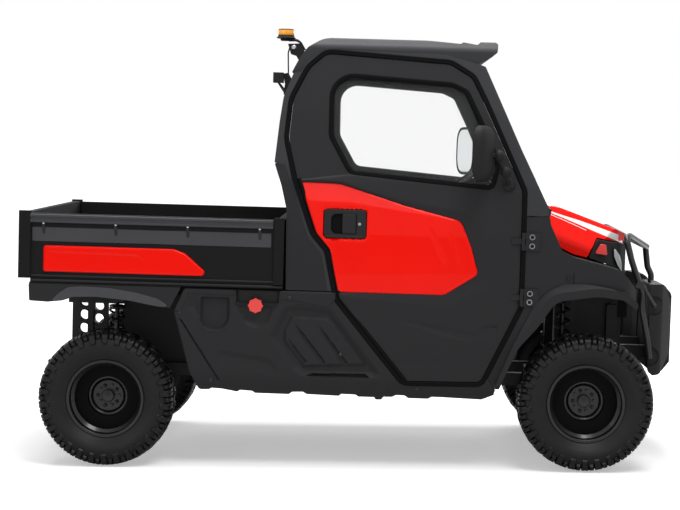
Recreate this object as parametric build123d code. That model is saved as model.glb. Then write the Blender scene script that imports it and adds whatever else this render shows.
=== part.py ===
"""Side-by-side utility vehicle with a closed cab and a tipping bed.

Frame: +X forward, +Y the vehicle's left, +Z up, millimetres.  The sprung body is drawn level, with
X = 0 midway between the axles on the ground, and is set down nose-low by RAKE degrees at the end.
"""

from build123d import *
import os
from math import cos, hypot, radians, sin, tan

os.makedirs("parts", exist_ok=True)

# ---------------------------------------------------------------- driving dimensions (mm, degrees)
WHEELBASE = 2280
RAKE = 1.1  # nose-down stance of the sprung body
FIT = 0.3  # gap at a seat between two bodies

TYRE_R = 324  # over the lugs
TYRE_W = 250
LUG_H = 13
LUG_COUNT = 20
BEAD_R = 178
RIM_W = 186
WHEEL_Y = 635  # centre plane of each wheel
HUB_FACE_Y = 589  # inner face of the wheel's hub flange

SHAFT_R = 14
CV_R = 24
CASE_FRONT = 110
CASE_REAR = 200
SPRING_R = 40

KINGPIN_Y = 555
KINGPIN_R = 24
KNUCKLE_H = 150
STEER_ARM = 120  # kingpin to tie-rod eye, rearward
STEER_ARM_Z = -33  # underside of the knuckle's arm, from the axle
TIE_R = 9

SKIN_T = 40  # thickness of a whole door or side wall
DOOR_GAP = 11
PANEL_RAISE = 4
GLASS_T = 6
HINGE_X = 808
HINGE_Y = 775
HINGE_R = 8

FLOOR_T = 18
ROOF_HALF = 655

BED_HALF = 780
BED_FRONT_X = -312
BED_REAR_X = -1505
BED_FLOOR_Z = 896
BED_FLOOR_T = 45
BED_RAIL_Z = 1177
BED_WALL = 34
POST_Z = 1188
TAILGATE_T = 36
TAILGATE_X = -1549  # outer face
TAILGATE_AXIS = (-1543, 886)
POST_IN_Y = 752
BED_SILL_Z = 871
BED_RIBS = 11

BED_SEAT_Z = 765  # top of the frame's bed rails
BED_PIN_R = 10
BED_PIVOT = (-1310, 790)
LIFT_EYE = (-1120, 800)  # on the bed's underside
LIFT_FOOT = (-715, 440)  # on the frame
LIFT_EYE_R = 30
LIFT_PIN_R = 8
LIFT_ROD_R = 14

PLATE_X = -1328
TOWER_Y = 292
OUTRIGGER_Y = 714
RECEIVER = (-1540, 362)
RECEIVER_IN = 25.5
GRILLE_BACK_X = 1332

SHIELD_T = 6  # side plates between the frame's uprights
RAIL_Y = 250
RAIL_W = 50
RAIL_Z = 368
RAIL_H = 60

WHEEL_RING_R = 180  # steering wheel
WHEEL_CENTRE = (491, 380, 1304)
COLUMN_TILT = 53  # below the horizontal

FLOOR_Z = RAIL_Z + RAIL_H
BULKHEAD_X = 830

TUBE_R = 15.5  # brush guard
GUARD_Y = 516
BUMPER_HALF = 500
BUMPER_NOSE = 240  # half-width of the middle section, which stands forward
HOOD_AXIS = (1354, 1092)
HOOD_T = 12
HOOD_REAR_X = 952
HOOD_NOSE_X = 1373
HOOD_LUG_Y = 230
GRILLE_SLOTS = 6
PANEL_T = 30
FUEL_CAP = (-439, 770)
FUEL_CAP_R = 32
BEACON = (-365, 2063)
HOOD_SLOPE = 20.0
GRILLE_TOP = 1083
GRILLE_LOW = 880

# side skin of the cab, sill to roof: height, half-width, corner radius
SKIN = [
    (330, 700, 0),
    (430, 742, 120),
    (640, 758, 200),
    (1120, 764, 300),
    (1360, 752, 250),
    (1700, 704, 500),
    (2090, 632, 0),
]

# outlines seen from the right side: x, z, corner radius
DOOR = [
    (-258, 1374, 60),
    (-303, 1560, 160),
    (-287, 1745, 160),
    (-215, 1893, 120),
    (-135, 1962, 60),
    (447, 1926, 60),
    (548, 1866, 60),
    (607, 1752, 200),
    (797, 1343, 50),
    (797, 800, 60),
    (628, 438, 35),
    (268, 433, 40),
    (-50, 815, 30),
    (-60, 860, 40),
    (-100, 1046, 60),
    (-168, 1125, 50),
]
WINDOW = [
    (-4, 1414, 50),
    (-98, 1580, 50),
    (-100, 1860, 95),
    (455, 1825, 60),
    (520, 1796, 40),
    (592, 1652, 200),
    (676, 1468, 18),
    (650, 1362, 22),
]
DOOR_RED = [
    (-240, 1362, 10),
    (-60, 1358, 200),
    (250, 1262, 500),
    (515, 1196, 50),
    (566, 1075, 300),
    (604, 948, 30),
    (446, 845, 60),
    (-50, 846, 12),
    (-90, 1044, 60),
    (-156, 1122, 50),
]
HANDLE = [(-124, 1103, 14), (68, 1103, 14), (68, 1232, 14), (-124, 1232, 14)]
# lower edge of the roof moulding, rear to front, shared with the cab side below it
ROOF_EDGE = [
    (-292, 1868, 0),
    (-256, 1878, 10),
    (-221, 1933, 60),
    (-158, 1976, 60),
    (-77, 1990, 60),
    (432, 1973, 60),
    (579, 1934, 8),
]
ROOF_TOP = [
    (638, 1966, 12),
    (666, 1990, 10),
    (671, 2030, 8),
    (662, 2041, 6),
    (588, 2041, 6),
    (578, 2027, 4),
    (566, 2027, 4),
    (506, 2038, 8),
    (494, 2029, 8),
    (356, 2041, 200),
    (266, 2047, 300),
    (85, 2052, 300),
    (-70, 2051, 120),
    (-160, 2037, 120),
    (-230, 1992, 80),
    (-268, 1938, 60),
    (-302, 1871, 10),
]
CAB_REAR = [
    (-292, 1868, 0),
    (-335, 1758, 120),
    (-350, 1640, 120),
    (-368, 1446, 10),
]
QUARTER_FRONT = [
    (-318, 1436, 0),
    (-270, 1319, 60),
    (-236, 1203, 60),
    (-202, 1098, 50),
    (-137, 1022, 40),
    (-104, 849, 0),
]
SIDE_PANEL = [
    (-824, 733, 12),
    (-777, 844, 12),
    (-20, 844, 0),
    (300, 600, 0),
    (560, 500, 0),
    (640, 500, 0),
    (702, 404, 10),
    (699, 376, 10),
    (640, 350, 30),
    (-700, 358, 40),
    (-745, 440, 30),
]
FENDER_TOP = [
    (812, 1222, 0),
    (930, 1229, 10),
    (936, 1190, 30),
    (994, 1068, 40),
    (1057, 1038, 60),
    (1225, 998, 60),
    (1266, 985, 20),
    (1306, 952, 40),
    (1358, 888, 12),
]
ARCH = [
    (1350, 799, 10),
    (1290, 846, 60),
    (1165, 860, 200),
    (970, 830, 90),
    (892, 711, 200),
    (798, 603, 200),
    (720, 404, 0),
]
HOOD_TOP = [
    (952, 1272, 12),
    (1003, 1261, 40),
    (1147, 1212, 200),
    (1304, 1155, 100),
    (1373, 1121, 14),
]
POD = [(1137, 1031, 6), (1176, 1119, 12), (1236, 1108, 20), (1330, 1096, 10), (1330, 930, 0), (1262, 990, 0)]
BUMPER_SIDE = [
    (1499, 879, 8),
    (1557, 879, 16),
    (1585, 850, 25),
    (1613, 776, 40),
    (1613, 690, 60),
    (1604, 520, 40),
    (1554, 456, 30),
    (1518, 438, 8),
    (1490, 466, 20),
]
BED_FENDER = [
    (-1511, 846, 6),
    (-1507, 764, 6),
    (-1420, 760, 10),
    (-1350, 768, 30),
    (-1300, 786, 40),
    (-1190, 789, 100),
    (-1032, 776, 60),
    (-900, 752, 60),
    (-842, 748, 6),
    (-792, 846, 6),
]
BUMPER_END = [
    (1448, 905, 10),
    (1512, 906, 12),
    (1534, 890, 25),
    (1565, 806, 40),
    (1563, 560, 60),
    (1506, 470, 30),
    (1470, 464, 6),
    (1448, 500, 10),
]
GUARD_FEET = [(1470, 802), (1456, 556)]
U_SCOOP = [(-699, 806, 10), (-562, 806, 10), (-562, 644, 66), (-699, 644, 66)]
FILLER_SCOOP = [
    (-546, 800, 12), (-530, 742, 30), (-500, 672, 40), (-434, 652, 40), (-388, 668, 30), (-338, 750, 20), (-338, 800, 12)
]
VENT = [(-374, 630, 20), (-276, 539, 60), (-205, 448, 20), (140, 455, 14), (142, 475, 14), (-88, 762, 30), (-283, 800, 16)]
VENT_SLATS = [(-282, 740), (-196, 740), (-110, 740)]
BED_TRIM = [
    (-1443, 904, 8),
    (-1443, 1027, 8),
    (-830, 1026, 60),
    (-776, 1008, 30),
    (-680, 925, 8),
    (-690, 903, 8),
]


# ---------------------------------------------------------------- small shape helpers
def rounded_edges(corners, closed=True):
    """Lines and arcs through corner points (Vector, radius); a radius is limited by its two sides."""
    count = len(corners)
    cuts = []
    for i, (point, radius) in enumerate(corners):
        inner = closed or 0 < i < count - 1
        if radius == 0 or not inner:
            cuts.append((point, point, point))
            continue
        back = corners[i - 1][0] - point
        ahead = corners[(i + 1) % count][0] - point
        half = radians(back.get_angle(ahead)) / 2
        if half > 1.55:
            cuts.append((point, point, point))
            continue
        reach = min(radius / tan(half), 0.48 * back.length, 0.48 * ahead.length)
        true_radius = reach * tan(half)
        inward = (back.normalized() + ahead.normalized()).normalized()
        middle = point + inward * (true_radius / sin(half) - true_radius)
        cuts.append((point + back.normalized() * reach, middle, point + ahead.normalized() * reach))
    edges = []
    for i in range(count if closed else count - 1):
        start, middle, end = cuts[i]
        if (end - start).length > 1e-4:
            edges.append(Edge.make_three_point_arc(start, middle, end))
        following = cuts[(i + 1) % count][0]
        if (following - end).length > 1e-4:
            edges.append(Edge.make_line(end, following))
    return edges


def outline(plane, corners):
    """Flat face on a plane from corners (u, v) or (u, v, radius)."""
    points = [(plane.from_local_coords(Vector(c[0], c[1], 0)), c[2] if len(c) > 2 else 0) for c in corners]
    return Face(Wire(rounded_edges(points)))


def slab_y(corners, y_low, y_high):
    """Solid of an X-Z outline between two Y values."""
    plane = Plane(origin=(0, y_high, 0), x_dir=(1, 0, 0), z_dir=(0, -1, 0))
    return extrude(outline(plane, corners), amount=y_high - y_low, dir=(0, -1, 0)).solid()


def slab_x(corners, x_low, x_high):
    """Solid of a Y-Z outline between two X values."""
    plane = Plane(origin=(x_low, 0, 0), x_dir=(0, 1, 0), z_dir=(1, 0, 0))
    return extrude(outline(plane, corners), amount=x_high - x_low, dir=(1, 0, 0)).solid()


def slab_z(corners, z_low, z_high):
    """Solid of an X-Y outline between two Z values."""
    plane = Plane(origin=(0, 0, z_low), x_dir=(1, 0, 0), z_dir=(0, 0, 1))
    return extrude(outline(plane, corners), amount=z_high - z_low, dir=(0, 0, 1)).solid()


def block(x_low, x_high, y_low, y_high, z_low, z_high):
    """Box between its limits."""
    box = Box(x_high - x_low, y_high - y_low, z_high - z_low)
    return Pos((x_low + x_high) / 2, (y_low + y_high) / 2, (z_low + z_high) / 2) * box


def rod(start, end, radius):
    """Round bar from one point to another."""
    start, end = Vector(*start), Vector(*end)
    return Solid.make_cylinder(radius, (end - start).length, Plane(origin=start, z_dir=end - start))


def bent_tube(points, radius, bend):
    """Round tube through points, its corners bent to one radius."""
    corners = [(Vector(*p), bend) for p in points]
    path = Wire(rounded_edges(corners, closed=False))
    return sweep(Plane(origin=path @ 0, z_dir=path % 0) * Circle(radius), path=path).solid()


def grown(corners, amount):
    """Outline face of corners in X-Z moved outwards by an amount."""
    plane = Plane(origin=(0, 0, 0), x_dir=(1, 0, 0), z_dir=(0, -1, 0))
    return offset(outline(plane, corners), amount=amount, kind=Kind.ARC).face()


def grown_slab(corners, amount, y_low, y_high):
    """Solid of a grown X-Z outline between two Y values."""
    face = Pos(0, y_high, 0) * grown(corners, amount)
    return extrude(face, amount=y_high - y_low, dir=(0, -1, 0)).solid()


def skin_band(inner, outer, x_low=-900, x_high=1400):
    """Right-hand side wall between two offsets from the outer skin, inner one positive inwards."""
    outside = [(-(y + outer), z, r) for z, y, r in SKIN]
    inside = [(-(y - inner), z, r) for z, y, r in reversed(SKIN)]
    return slab_x(outside + inside, x_low, x_high)


def cab_interior(inset, x_low=-900, x_high=1400):
    """Full-width body between the two side skins, set in by an amount."""
    right = [(-(y - inset), z, r) for z, y, r in SKIN]
    left = [(y - inset, z, r) for z, y, r in reversed(SKIN)]
    return slab_x(right + left, x_low, x_high)


def common(shape, other):
    """What two shapes share."""
    return shape & other


def left_of(shape):
    """Mirror image on the vehicle's left side."""
    return mirror(shape, about=Plane.XZ)


def pair(shape):
    """Right-hand shape with its left-hand mirror image."""
    return Compound(children=solids_of(shape) + solids_of(left_of(shape)))


def solids_of(shape):
    """Plain list of a shape's solids."""
    return [Solid(s.wrapped) for s in shape.solids()]


def to_body(x, z):
    """A ground-frame point in the raked body's coordinates."""
    tilt = radians(RAKE)
    return x * cos(tilt) - z * sin(tilt), x * sin(tilt) + z * cos(tilt)


FRONT_AXLE = to_body(WHEELBASE / 2, TYRE_R)
REAR_AXLE = to_body(-WHEELBASE / 2, TYRE_R)


# ---------------------------------------------------------------- wheels
def tyre_section(lug_right, lug_left):
    """Closed section (radius, y) of a tyre at one step round it, with or without a lug on each half."""
    half, crown, bore = TYRE_W / 2, TYRE_R - LUG_H, BEAD_R + 0.6
    plain = [(bore, 80), (BEAD_R + 65, half - 3), (crown - 40, half - 4), (crown - 6, half - 22), (crown, 8)]
    lugged = plain[:3] + [(TYRE_R - 2, half - 16), (TYRE_R, 8), (crown, 8)]
    right = lugged if lug_right else plain
    left = lugged if lug_left else plain
    inner = [(bore, -64), (crown - 24, -half + 36), (crown - 24, half - 36), (bore, 64)]
    return [(r, -y) for r, y in right] + [(r, y) for r, y in reversed(left)] + [(r, -y) for r, y in inner]


def lug_wall():
    """Outline (radius, y) of a lug's end face, from the shoulder to the middle and back under the lug."""
    half, crown = TYRE_W / 2, TYRE_R - LUG_H
    return [(crown - 40, half - 4), (TYRE_R - 2, half - 16), (TYRE_R, 8), (crown, 8), (crown - 6, half - 22)]


def make_tyre():
    """Tyre about Y in flat steps, two to each lug, with the lugs of its two halves staggered by a step."""
    steps = 2 * LUG_COUNT

    def at(step, point):
        turn = radians(360 * step / steps + RAKE)  # level once set down
        return Vector(point[0] * cos(turn), point[1], point[0] * sin(turn))

    faces = []
    for step in range(steps):
        even = step % 2 == 0
        section = tyre_section(even, not even)
        for start, end in zip(section, section[1:] + section[:1]):
            corners = [at(step, start), at(step, end), at(step + 1, end), at(step + 1, start)]
            faces.append(Face(Wire.make_polygon(corners)))
        for side in (-1, 1):
            faces.append(Face(Wire.make_polygon([at(step, (r, side * y)) for r, y in lug_wall()])))
    return Solid(Shell(faces))


def make_rim(face_side):
    """Dished steel rim about the Y axis; face_side is -1 where the outer face looks to -Y."""
    half = RIM_W / 2
    barrel = [
        (BEAD_R + 6, half, 0),
        (BEAD_R + 6, half - 5.7, 3),
        (BEAD_R - 0.3, half - 5.7, 0),
        (BEAD_R - 0.3, 60, 6),
        (BEAD_R - 20, 44, 10),
        (BEAD_R - 20, -44, 10),
        (BEAD_R - 0.3, -60, 6),
        (BEAD_R - 0.3, -half + 5.7, 0),
        (BEAD_R + 6, -half + 5.7, 3),
        (BEAD_R + 6, -half, 0),
        (BEAD_R - 8, -half, 4),
        (BEAD_R - 8, -56, 6),
        (BEAD_R - 28, -38, 10),
        (BEAD_R - 28, 38, 10),
        (BEAD_R - 8, 56, 6),
        (BEAD_R - 8, half, 4),
    ]
    hub_in = -(WHEEL_Y - HUB_FACE_Y)
    disc = [
        (0, hub_in + 6, 0),
        (0, hub_in + 14, 0),
        (72, hub_in + 14, 6),
        (86, hub_in + 30, 12),
        (112, hub_in + 26, 12),
        (134, hub_in + 2, 10),
        (BEAD_R - 24, hub_in + 20, 0),
        (BEAD_R - 24, hub_in + 8, 0),
        (132, hub_in - 8, 10),
        (108, hub_in + 16, 12),
        (88, hub_in + 20, 12),
        (76, hub_in + 6, 6),
    ]
    hub = [(0, hub_in, 0), (62, hub_in, 3), (62, hub_in + 8, 0), (0, hub_in + 8, 0)]
    cap = [(0, hub_in + 12, 0), (30, hub_in + 12, 0), (30, hub_in + 44, 6), (0, hub_in + 46, 0)]
    faces = [outline(Plane.XY, corners) for corners in (barrel, disc, hub, cap)]
    rim = None
    for face in faces:
        ring = revolve(face, axis=Axis.Y)
        rim = ring if rim is None else rim + ring
    for i in range(5):
        place = Rot(0, 72 * i, 0) * Pos(50, hub_in + 20, 0)
        rim = rim + place * Rot(90, 0, 0) * Cylinder(8, 22)
    for i in range(10):
        slot = Rot(0, 36 * i + 18, 0) * Pos(124, hub_in + 10, 0) * Rot(90, 0, 0)
        rim = rim - slot * Cylinder(9, 60)
    rim = rim.solid()
    return rim if face_side > 0 else left_of(rim)


def wheel_places():
    """Name and centre of each wheel in body coordinates."""
    places = {}
    for end, (x, z) in (("front", FRONT_AXLE), ("rear", REAR_AXLE)):
        places[end + "_right"] = (x, -WHEEL_Y, z)
        places[end + "_left"] = (x, WHEEL_Y, z)
    return places


def wheels():
    """Rim and tyre nodes for the four wheels."""
    nodes = {}
    tyre = make_tyre()
    for name, (x, y, z) in wheel_places().items():
        nodes["tyre_" + name] = Pos(x, y, z) * tyre
        nodes["rim_" + name] = Pos(x, y, z) * make_rim(1 if y > 0 else -1)
    return nodes


# ---------------------------------------------------------------- chassis
def chassis_frame():
    """Ladder frame with its cross members, bed rails, shock towers, receiver and bumper arms."""
    top = RAIL_Z + RAIL_H
    frame = []
    for side in (-1, 1):
        frame += chassis_side(side)
    for x in (-1380, -960, LIFT_FOOT[0] - 20, -60, 420, 900, 1270):
        frame.append(block(x, x + 40, -RAIL_Y, RAIL_Y, RAIL_Z + 8, top - 8))
    for x in (-1359, -690):
        frame.append(block(x, x + 40, -RAIL_Y, RAIL_Y, BED_SEAT_Z - 48, BED_SEAT_Z - 2))
    frame.append(block(1280, 1310, -230, 230, 700, 760))
    frame += outriggers()
    frame.append(block(-1420, -1380, -RAIL_Y, RAIL_Y, RAIL_Z - 34, RAIL_Z + 20))
    for y in (-36, 24):
        frame.append(ear_plate(LIFT_FOOT, 24, RAIL_Z - 8, y, y + 12))
    foot_x, foot_z = LIFT_FOOT
    frame.append(rod((foot_x, -36, foot_z), (foot_x, 36, foot_z), LIFT_PIN_R))
    body = frame[0]
    for piece in frame[1:]:
        body = body + piece
    return (body + towing_receiver() - receiver_bore()) + rack_housing()


def ear_plate(pivot, radius, foot_z, y_low, y_high):
    """Plate rounded about a pivot and standing on, or hanging from, a level."""
    x, z = pivot
    tip = z + radius if foot_z < z else z - radius
    wide = radius + 12
    return slab_y([(x - wide, foot_z), (x - radius, tip, radius * 0.98), (x + radius, tip, radius * 0.98), (x + wide, foot_z)], y_low, y_high)


def outriggers():
    """Cross bars that carry the floor and the side panels."""
    top = RAIL_Z + RAIL_H
    return [block(x, x + 40, -OUTRIGGER_Y, OUTRIGGER_Y, top - 28, top) for x in (-690, -250, 420)]


def chassis_side(side):
    """Rails, uprights, brackets and towers of one side of the frame."""
    top = RAIL_Z + RAIL_H

    def box(x_low, x_high, y_low, y_high, z_low, z_high):
        near, far = sorted((side * y_low, side * y_high))
        return block(x_low, x_high, near, far, z_low, z_high)

    y_in, y_out = RAIL_Y - RAIL_W / 2, RAIL_Y + RAIL_W / 2
    pieces = [
        box(-1400, 1300, y_in, y_out, RAIL_Z, top),
        box(-1400, -640, y_in, y_out, BED_SEAT_Z - 50, BED_SEAT_Z),
        box(-700, -640, y_in, y_out, top - 5, BED_SEAT_Z - 40),
        box(-1180, -1110, y_out - 5, 400, BED_SEAT_Z - 30, BED_SEAT_Z - 5),
        box(1010, 1110, y_in, TOWER_Y, top - 5, 870),
        box(1010, 1110, TOWER_Y - 10, 410, 845, 870),
        box(1290, 1498, 178, 222, 520, 580),
        box(1270, 1320, 185, 265, top - 5, 780),
        box(1290, GRILLE_BACK_X, 200, 240, 740, GRILLE_LOW),
        box(1100, 1345, 222, 222 + SHIELD_T, 470, 830),
        box(-1130, -699, 222, 222 + SHIELD_T, top - 5, BED_SEAT_Z - 45),
    ]
    x, z = PLATE_X, BED_SEAT_Z - 8
    plate = slab_y([(x - 52, top - 5), (x - 52, z, 30), (x + 52, z, 20), (x + 52, top - 5)], side * RAIL_Y - 27, side * RAIL_Y + 27)
    for hole_z in (722, 655, 588):
        plate = plate - Pos(x + 7, side * RAIL_Y, hole_z) * Rot(90, 0, 0) * Cylinder(25, 2 * RAIL_W)
    ear = ear_plate(BED_PIVOT, 24, BED_SEAT_Z - 10, side * RAIL_Y - 9, side * RAIL_Y + 9)
    bx, bz = BED_PIVOT
    pin = rod((bx, side * RAIL_Y - 26, bz), (bx, side * RAIL_Y + 26, bz), BED_PIN_R)
    return pieces + [plate, ear + pin]


def towing_receiver():
    """Square receiver tube under the tail."""
    x, z = RECEIVER
    return block(x, -1370, -32, 32, z - 32, z + 32)


def receiver_bore():
    """Hollow of the receiver tube and its cross pin hole."""
    x, z = RECEIVER
    inner = block(x - 10, -1382, -RECEIVER_IN, RECEIVER_IN, z - RECEIVER_IN, z + RECEIVER_IN)
    return inner + Pos(x + 45, 0, z) * Rot(90, 0, 0) * Cylinder(8, 100)


def front_suspension():
    """Upper and lower arms of each front wheel, ending in ball joints on the kingpin."""
    x, z = FRONT_AXLE
    arms = []
    lower = (RAIL_Y + RAIL_W / 2, 398, z - KNUCKLE_H / 2 - 12 - FIT, 150, -6)
    upper = (TOWER_Y, 480, z + KNUCKLE_H / 2 + 12 + FIT, 52, 8)
    for face_y, inner_z, level, spread, lift in (lower, upper):
        inner_y = -(face_y + 16.05)
        arm = Pos(x, -KINGPIN_Y, level) * Cylinder(KINGPIN_R + 4, 24)
        for dx in (-spread, spread):
            arm = arm + rod((x + dx, inner_y, inner_z), (x, -KINGPIN_Y + 20, level + lift), 12)
        arm = arm + rod((x - spread - 20, inner_y, inner_z), (x + spread + 20, inner_y, inner_z), 16)
        arms.append(arm.solid())
    return pair(Compound(children=arms))


def rear_suspension():
    """Arms and bearing carriers of the rear wheels."""
    x, z = REAR_AXLE
    mid_y = 548
    carrier = Pos(x, -mid_y, z) * Rot(90, 0, 0) * Cylinder(58, 2 * (HUB_FACE_Y - FIT - mid_y))
    arm = carrier + block(x - 30, x + 30, -560, -520, z - 110, z + 110)
    for face_y, inner_z, outer_z in ((RAIL_Y + RAIL_W / 2, 398, z - 88), (RAIL_Y + 27, 480, z + 88)):
        inner_y = -(face_y + 16.05)
        for dx in (-120, 120):
            arm = arm + rod((x + dx, inner_y, inner_z), (x, -535, outer_z), 13)
        arm = arm + rod((x - 150, inner_y, inner_z), (x + 150, inner_y, inner_z), 16)
    arm = arm + rod((x - 62, -420, 430), (x + 62, -420, 430), 12)
    return pair(arm - Pos(x, -mid_y, z) * Rot(90, 0, 0) * Cylinder(SHAFT_R + 0.5, 120))


def coilover(foot, head):
    """One shock absorber with its spring as a plain sleeve."""
    foot, head = Vector(*foot), Vector(*head)
    along = head - foot

    def at(share):
        return tuple(foot + along * share)

    body = rod(at(0), at(1), 10) + rod(at(0.08), at(0.5), 22) + rod(at(0.18), at(0.94), SPRING_R)
    return body.solid()


def coilovers():
    """The four spring and damper units."""
    xf, zf = FRONT_AXLE
    xr, zr = REAR_AXLE
    front = coilover((xf - 95, -380, 340), (xf - 90, -360, 843.5)) - front_suspension()
    rear = coilover((xr + 4, -420, 440), (xr + 2, -372, BED_SEAT_Z - 31.5)) - rear_suspension()
    kept = [unit.solids().sort_by(SortBy.VOLUME)[-1] for unit in (front, rear)]
    return Compound(children=solids_of(pair(kept[0])) + solids_of(pair(kept[1])))


def axle_cases():
    """Rear transaxle and front differential."""
    xf, zf = FRONT_AXLE
    xr, zr = REAR_AXLE
    rear = block(xr - 110, xr + 130, -CASE_REAR, CASE_REAR, zr - 78, zr + 168)
    front = block(xf - 85, xf + 85, -CASE_FRONT, CASE_FRONT, zf - 80, zf + 80)
    front = front + block(xf - 40, xf + 40, -RAIL_Y + RAIL_W / 2, RAIL_Y - RAIL_W / 2, zf + 40, zf + 76)
    rear = rear + block(xr - 40, xr + 40, -RAIL_Y + RAIL_W / 2, RAIL_Y - RAIL_W / 2, zr + 90, zr + 120)
    return Compound(children=[front.solid(), rear.solid()])


def engine():
    """Engine and its ancillaries as one block on the frame rails."""
    block_body = block(-610, -300, -205, 205, 450, 800)
    return block_body + block(-520, -380, -RAIL_Y + RAIL_W / 2, RAIL_Y - RAIL_W / 2, RAIL_Z + 10, 460)


def muffler():
    """Exhaust silencer beside the lift cylinder."""
    can = rod((-960, -150, 610), (-705, -150, 610), 60)
    return can + block(-697, -660, -RAIL_Y + RAIL_W / 2, -160, 600, 620) + rod((-720, -150, 610), (-665, -150, 610), 18)


def half_shafts():
    """Drive shafts from the two axle cases to the wheels."""
    xf, zf = FRONT_AXLE
    xr, zr = REAR_AXLE
    front = rod((xf, -CASE_FRONT, zf), (xf, -KINGPIN_Y + 20, zf), SHAFT_R)
    front = front + Pos(xf, -KINGPIN_Y, zf) * Sphere(CV_R)
    front = front + rod((xf, -CASE_FRONT, zf), (xf, -CASE_FRONT - 80, zf), 38)
    rear = rod((xr, -CASE_REAR, zr), (xr, -548, zr), SHAFT_R)
    rear = rear + rod((xr, -CASE_REAR, zr), (xr, -CASE_REAR - 60, zr), 36)
    rear = rear + rod((xr, -430, zr), (xr, -505, zr), 34)
    return Compound(children=solids_of(pair(front)) + solids_of(pair(rear)))


# ---------------------------------------------------------------- steering
def knuckle():
    """Right-hand steering knuckle about the kingpin, with its arm reaching rearward."""
    x, z = FRONT_AXLE
    hub_y = HUB_FACE_Y - FIT
    post = Pos(x, -KINGPIN_Y, z + 10) * Cylinder(KINGPIN_R + 28, KNUCKLE_H - 50)
    post = post + Pos(x, -KINGPIN_Y, z) * Cylinder(KINGPIN_R, KNUCKLE_H)
    post = post - block(x - 100, x + 100, -hub_y - 60, -hub_y + 16, z - KNUCKLE_H, z + KNUCKLE_H)
    flange = Pos(x, -hub_y + 10, z) * Rot(90, 0, 0) * Cylinder(56, 20)
    back = x - STEER_ARM - 18
    arm = slab_z(
        [(x, -KINGPIN_Y - 16), (x, -KINGPIN_Y + 16), (back, -KINGPIN_Y + 16, 14), (back, -KINGPIN_Y - 16, 14)],
        z + STEER_ARM_Z,
        z + STEER_ARM_Z + 16,
    )
    bore = rod((x, -hub_y + 5, z), (x, -KINGPIN_Y + 20, z), CV_R + 8)
    slot = block(x - 80, x + 80, -KINGPIN_Y + 3, -KINGPIN_Y + 80, z - CV_R - 6, z + CV_R + 6)
    return (post + flange + arm - bore - slot).solid()


def rack_level():
    """Height of the rack, with the tie-rod eyes just under the knuckle arms."""
    return FRONT_AXLE[1] + STEER_ARM_Z - 18


def steering_rack():
    """Rack bar with a tie rod each side; it slides across the vehicle."""
    level = rack_level()
    eye_x = FRONT_AXLE[0] - STEER_ARM
    bar = rod((eye_x, -KINGPIN_Y, level), (eye_x, KINGPIN_Y, level), TIE_R)
    for side in (-1, 1):
        bar = bar + Pos(eye_x, side * KINGPIN_Y, level) * Cylinder(16, 24)
    return bar


def rack_housing():
    """Tube that guides the rack, hung from the frame rails."""
    level = rack_level()
    eye_x = FRONT_AXLE[0] - STEER_ARM
    tube = rod((eye_x, -260, level), (eye_x, 260, level), 26)
    for side in (-1, 1):
        tube = tube + block(eye_x - 20, eye_x + 20, side * RAIL_Y - 12, side * RAIL_Y + 12, level, RAIL_Z + 4)
    return tube - rod((eye_x, -300, level), (eye_x, 300, level), TIE_R + FIT)


def steering_wheel():
    """Rim, spokes, hub and shaft end on the tilted column axis."""
    place = Plane(origin=WHEEL_CENTRE, x_dir=(0, 1, 0), z_dir=column_axis())
    wheel = Torus(WHEEL_RING_R, 13) + Pos(0, 0, 12) * Cylinder(46, 34)
    for turn in (90, 210, 330):
        spoke = Pos(WHEEL_RING_R / 2, 0, 8) * Box(WHEEL_RING_R, 30, 9)
        wheel = wheel + Rot(0, 0, turn) * spoke
    wheel = wheel + Pos(0, 0, 44) * Cylinder(14, 40)
    return place.location * wheel


def column_axis():
    """Direction down the steering column."""
    return (cos(radians(COLUMN_TILT)), 0, -sin(radians(COLUMN_TILT)))


def column_point(distance):
    """Point on the column axis below the wheel's centre."""
    cx, cy, cz = WHEEL_CENTRE
    ax, ay, az = column_axis()
    return (cx + ax * distance, cy + ay * distance, cz + az * distance)


def steering_column():
    """Column tube from under the wheel to the bulkhead."""
    tube = rod(column_point(64 + FIT), column_point(470), 27)
    stalk = rod(column_point(90), tuple(a + b for a, b in zip(column_point(90), (0, 150, 20))), 7)
    return tube + stalk


# ---------------------------------------------------------------- cab
def door_opening():
    """Right-hand cutter for the doorway."""
    return grown_slab(DOOR, DOOR_GAP, -900, -500)


def cab_sides():
    """Door surrounds with roof rail and windscreen pillar, both sides."""
    corners = [(-368, 1446, 6)] + list(reversed(CAB_REAR))[1:] + ROOF_EDGE[1:]
    corners += [(612, 1922, 8), (790, 1536, 900), (925, 1264, 8), (925, 1230, 0), (700, 1230, 0)]
    corners += [(300, 1000, 0), (0, 849, 0)] + list(reversed(QUARTER_FRONT))
    side = common(slab_y(corners, -900, -500), skin_band(SKIN_T, 2))
    return pair(side - door_opening())


def rear_corner_panels():
    """Quarter panels behind the doors."""
    corners = [(-368, 1446, 6)] + QUARTER_FRONT + [(-299, 849, 8), (-305, 1228, 40), (-332, 1340, 60)]
    side = common(slab_y(corners, -900, -500), skin_band(SKIN_T, 6))
    return pair(side - door_opening())


def rear_wall():
    """Cab back wall with its window cut, and the glass."""
    thick = 26
    line = [(-300, 849, 0), (-305, 1228, 40), (-332, 1340, 60), (-360, 1446, 20), (-350, 1640, 120), (-335, 1758, 120), (-292, 1868, 0)]
    back = [(x + thick, z, r) for x, z, r in reversed(line)]
    wall = common(slab_y(line + back, -900, 900), cab_interior(SKIN_T + FIT))
    cutter = slab_x([(-470, 1470, 50), (470, 1470, 50), (440, 1740, 50), (-440, 1740, 50)], -500, -200)
    glass_line = [(x + 8, z, r) for x, z, r in line]
    glass_back = [(x + 14, z, r) for x, z, r in reversed(line)]
    glass = common(slab_y(glass_line + glass_back, -900, 900), cutter)
    return wall - cutter, glass


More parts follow.
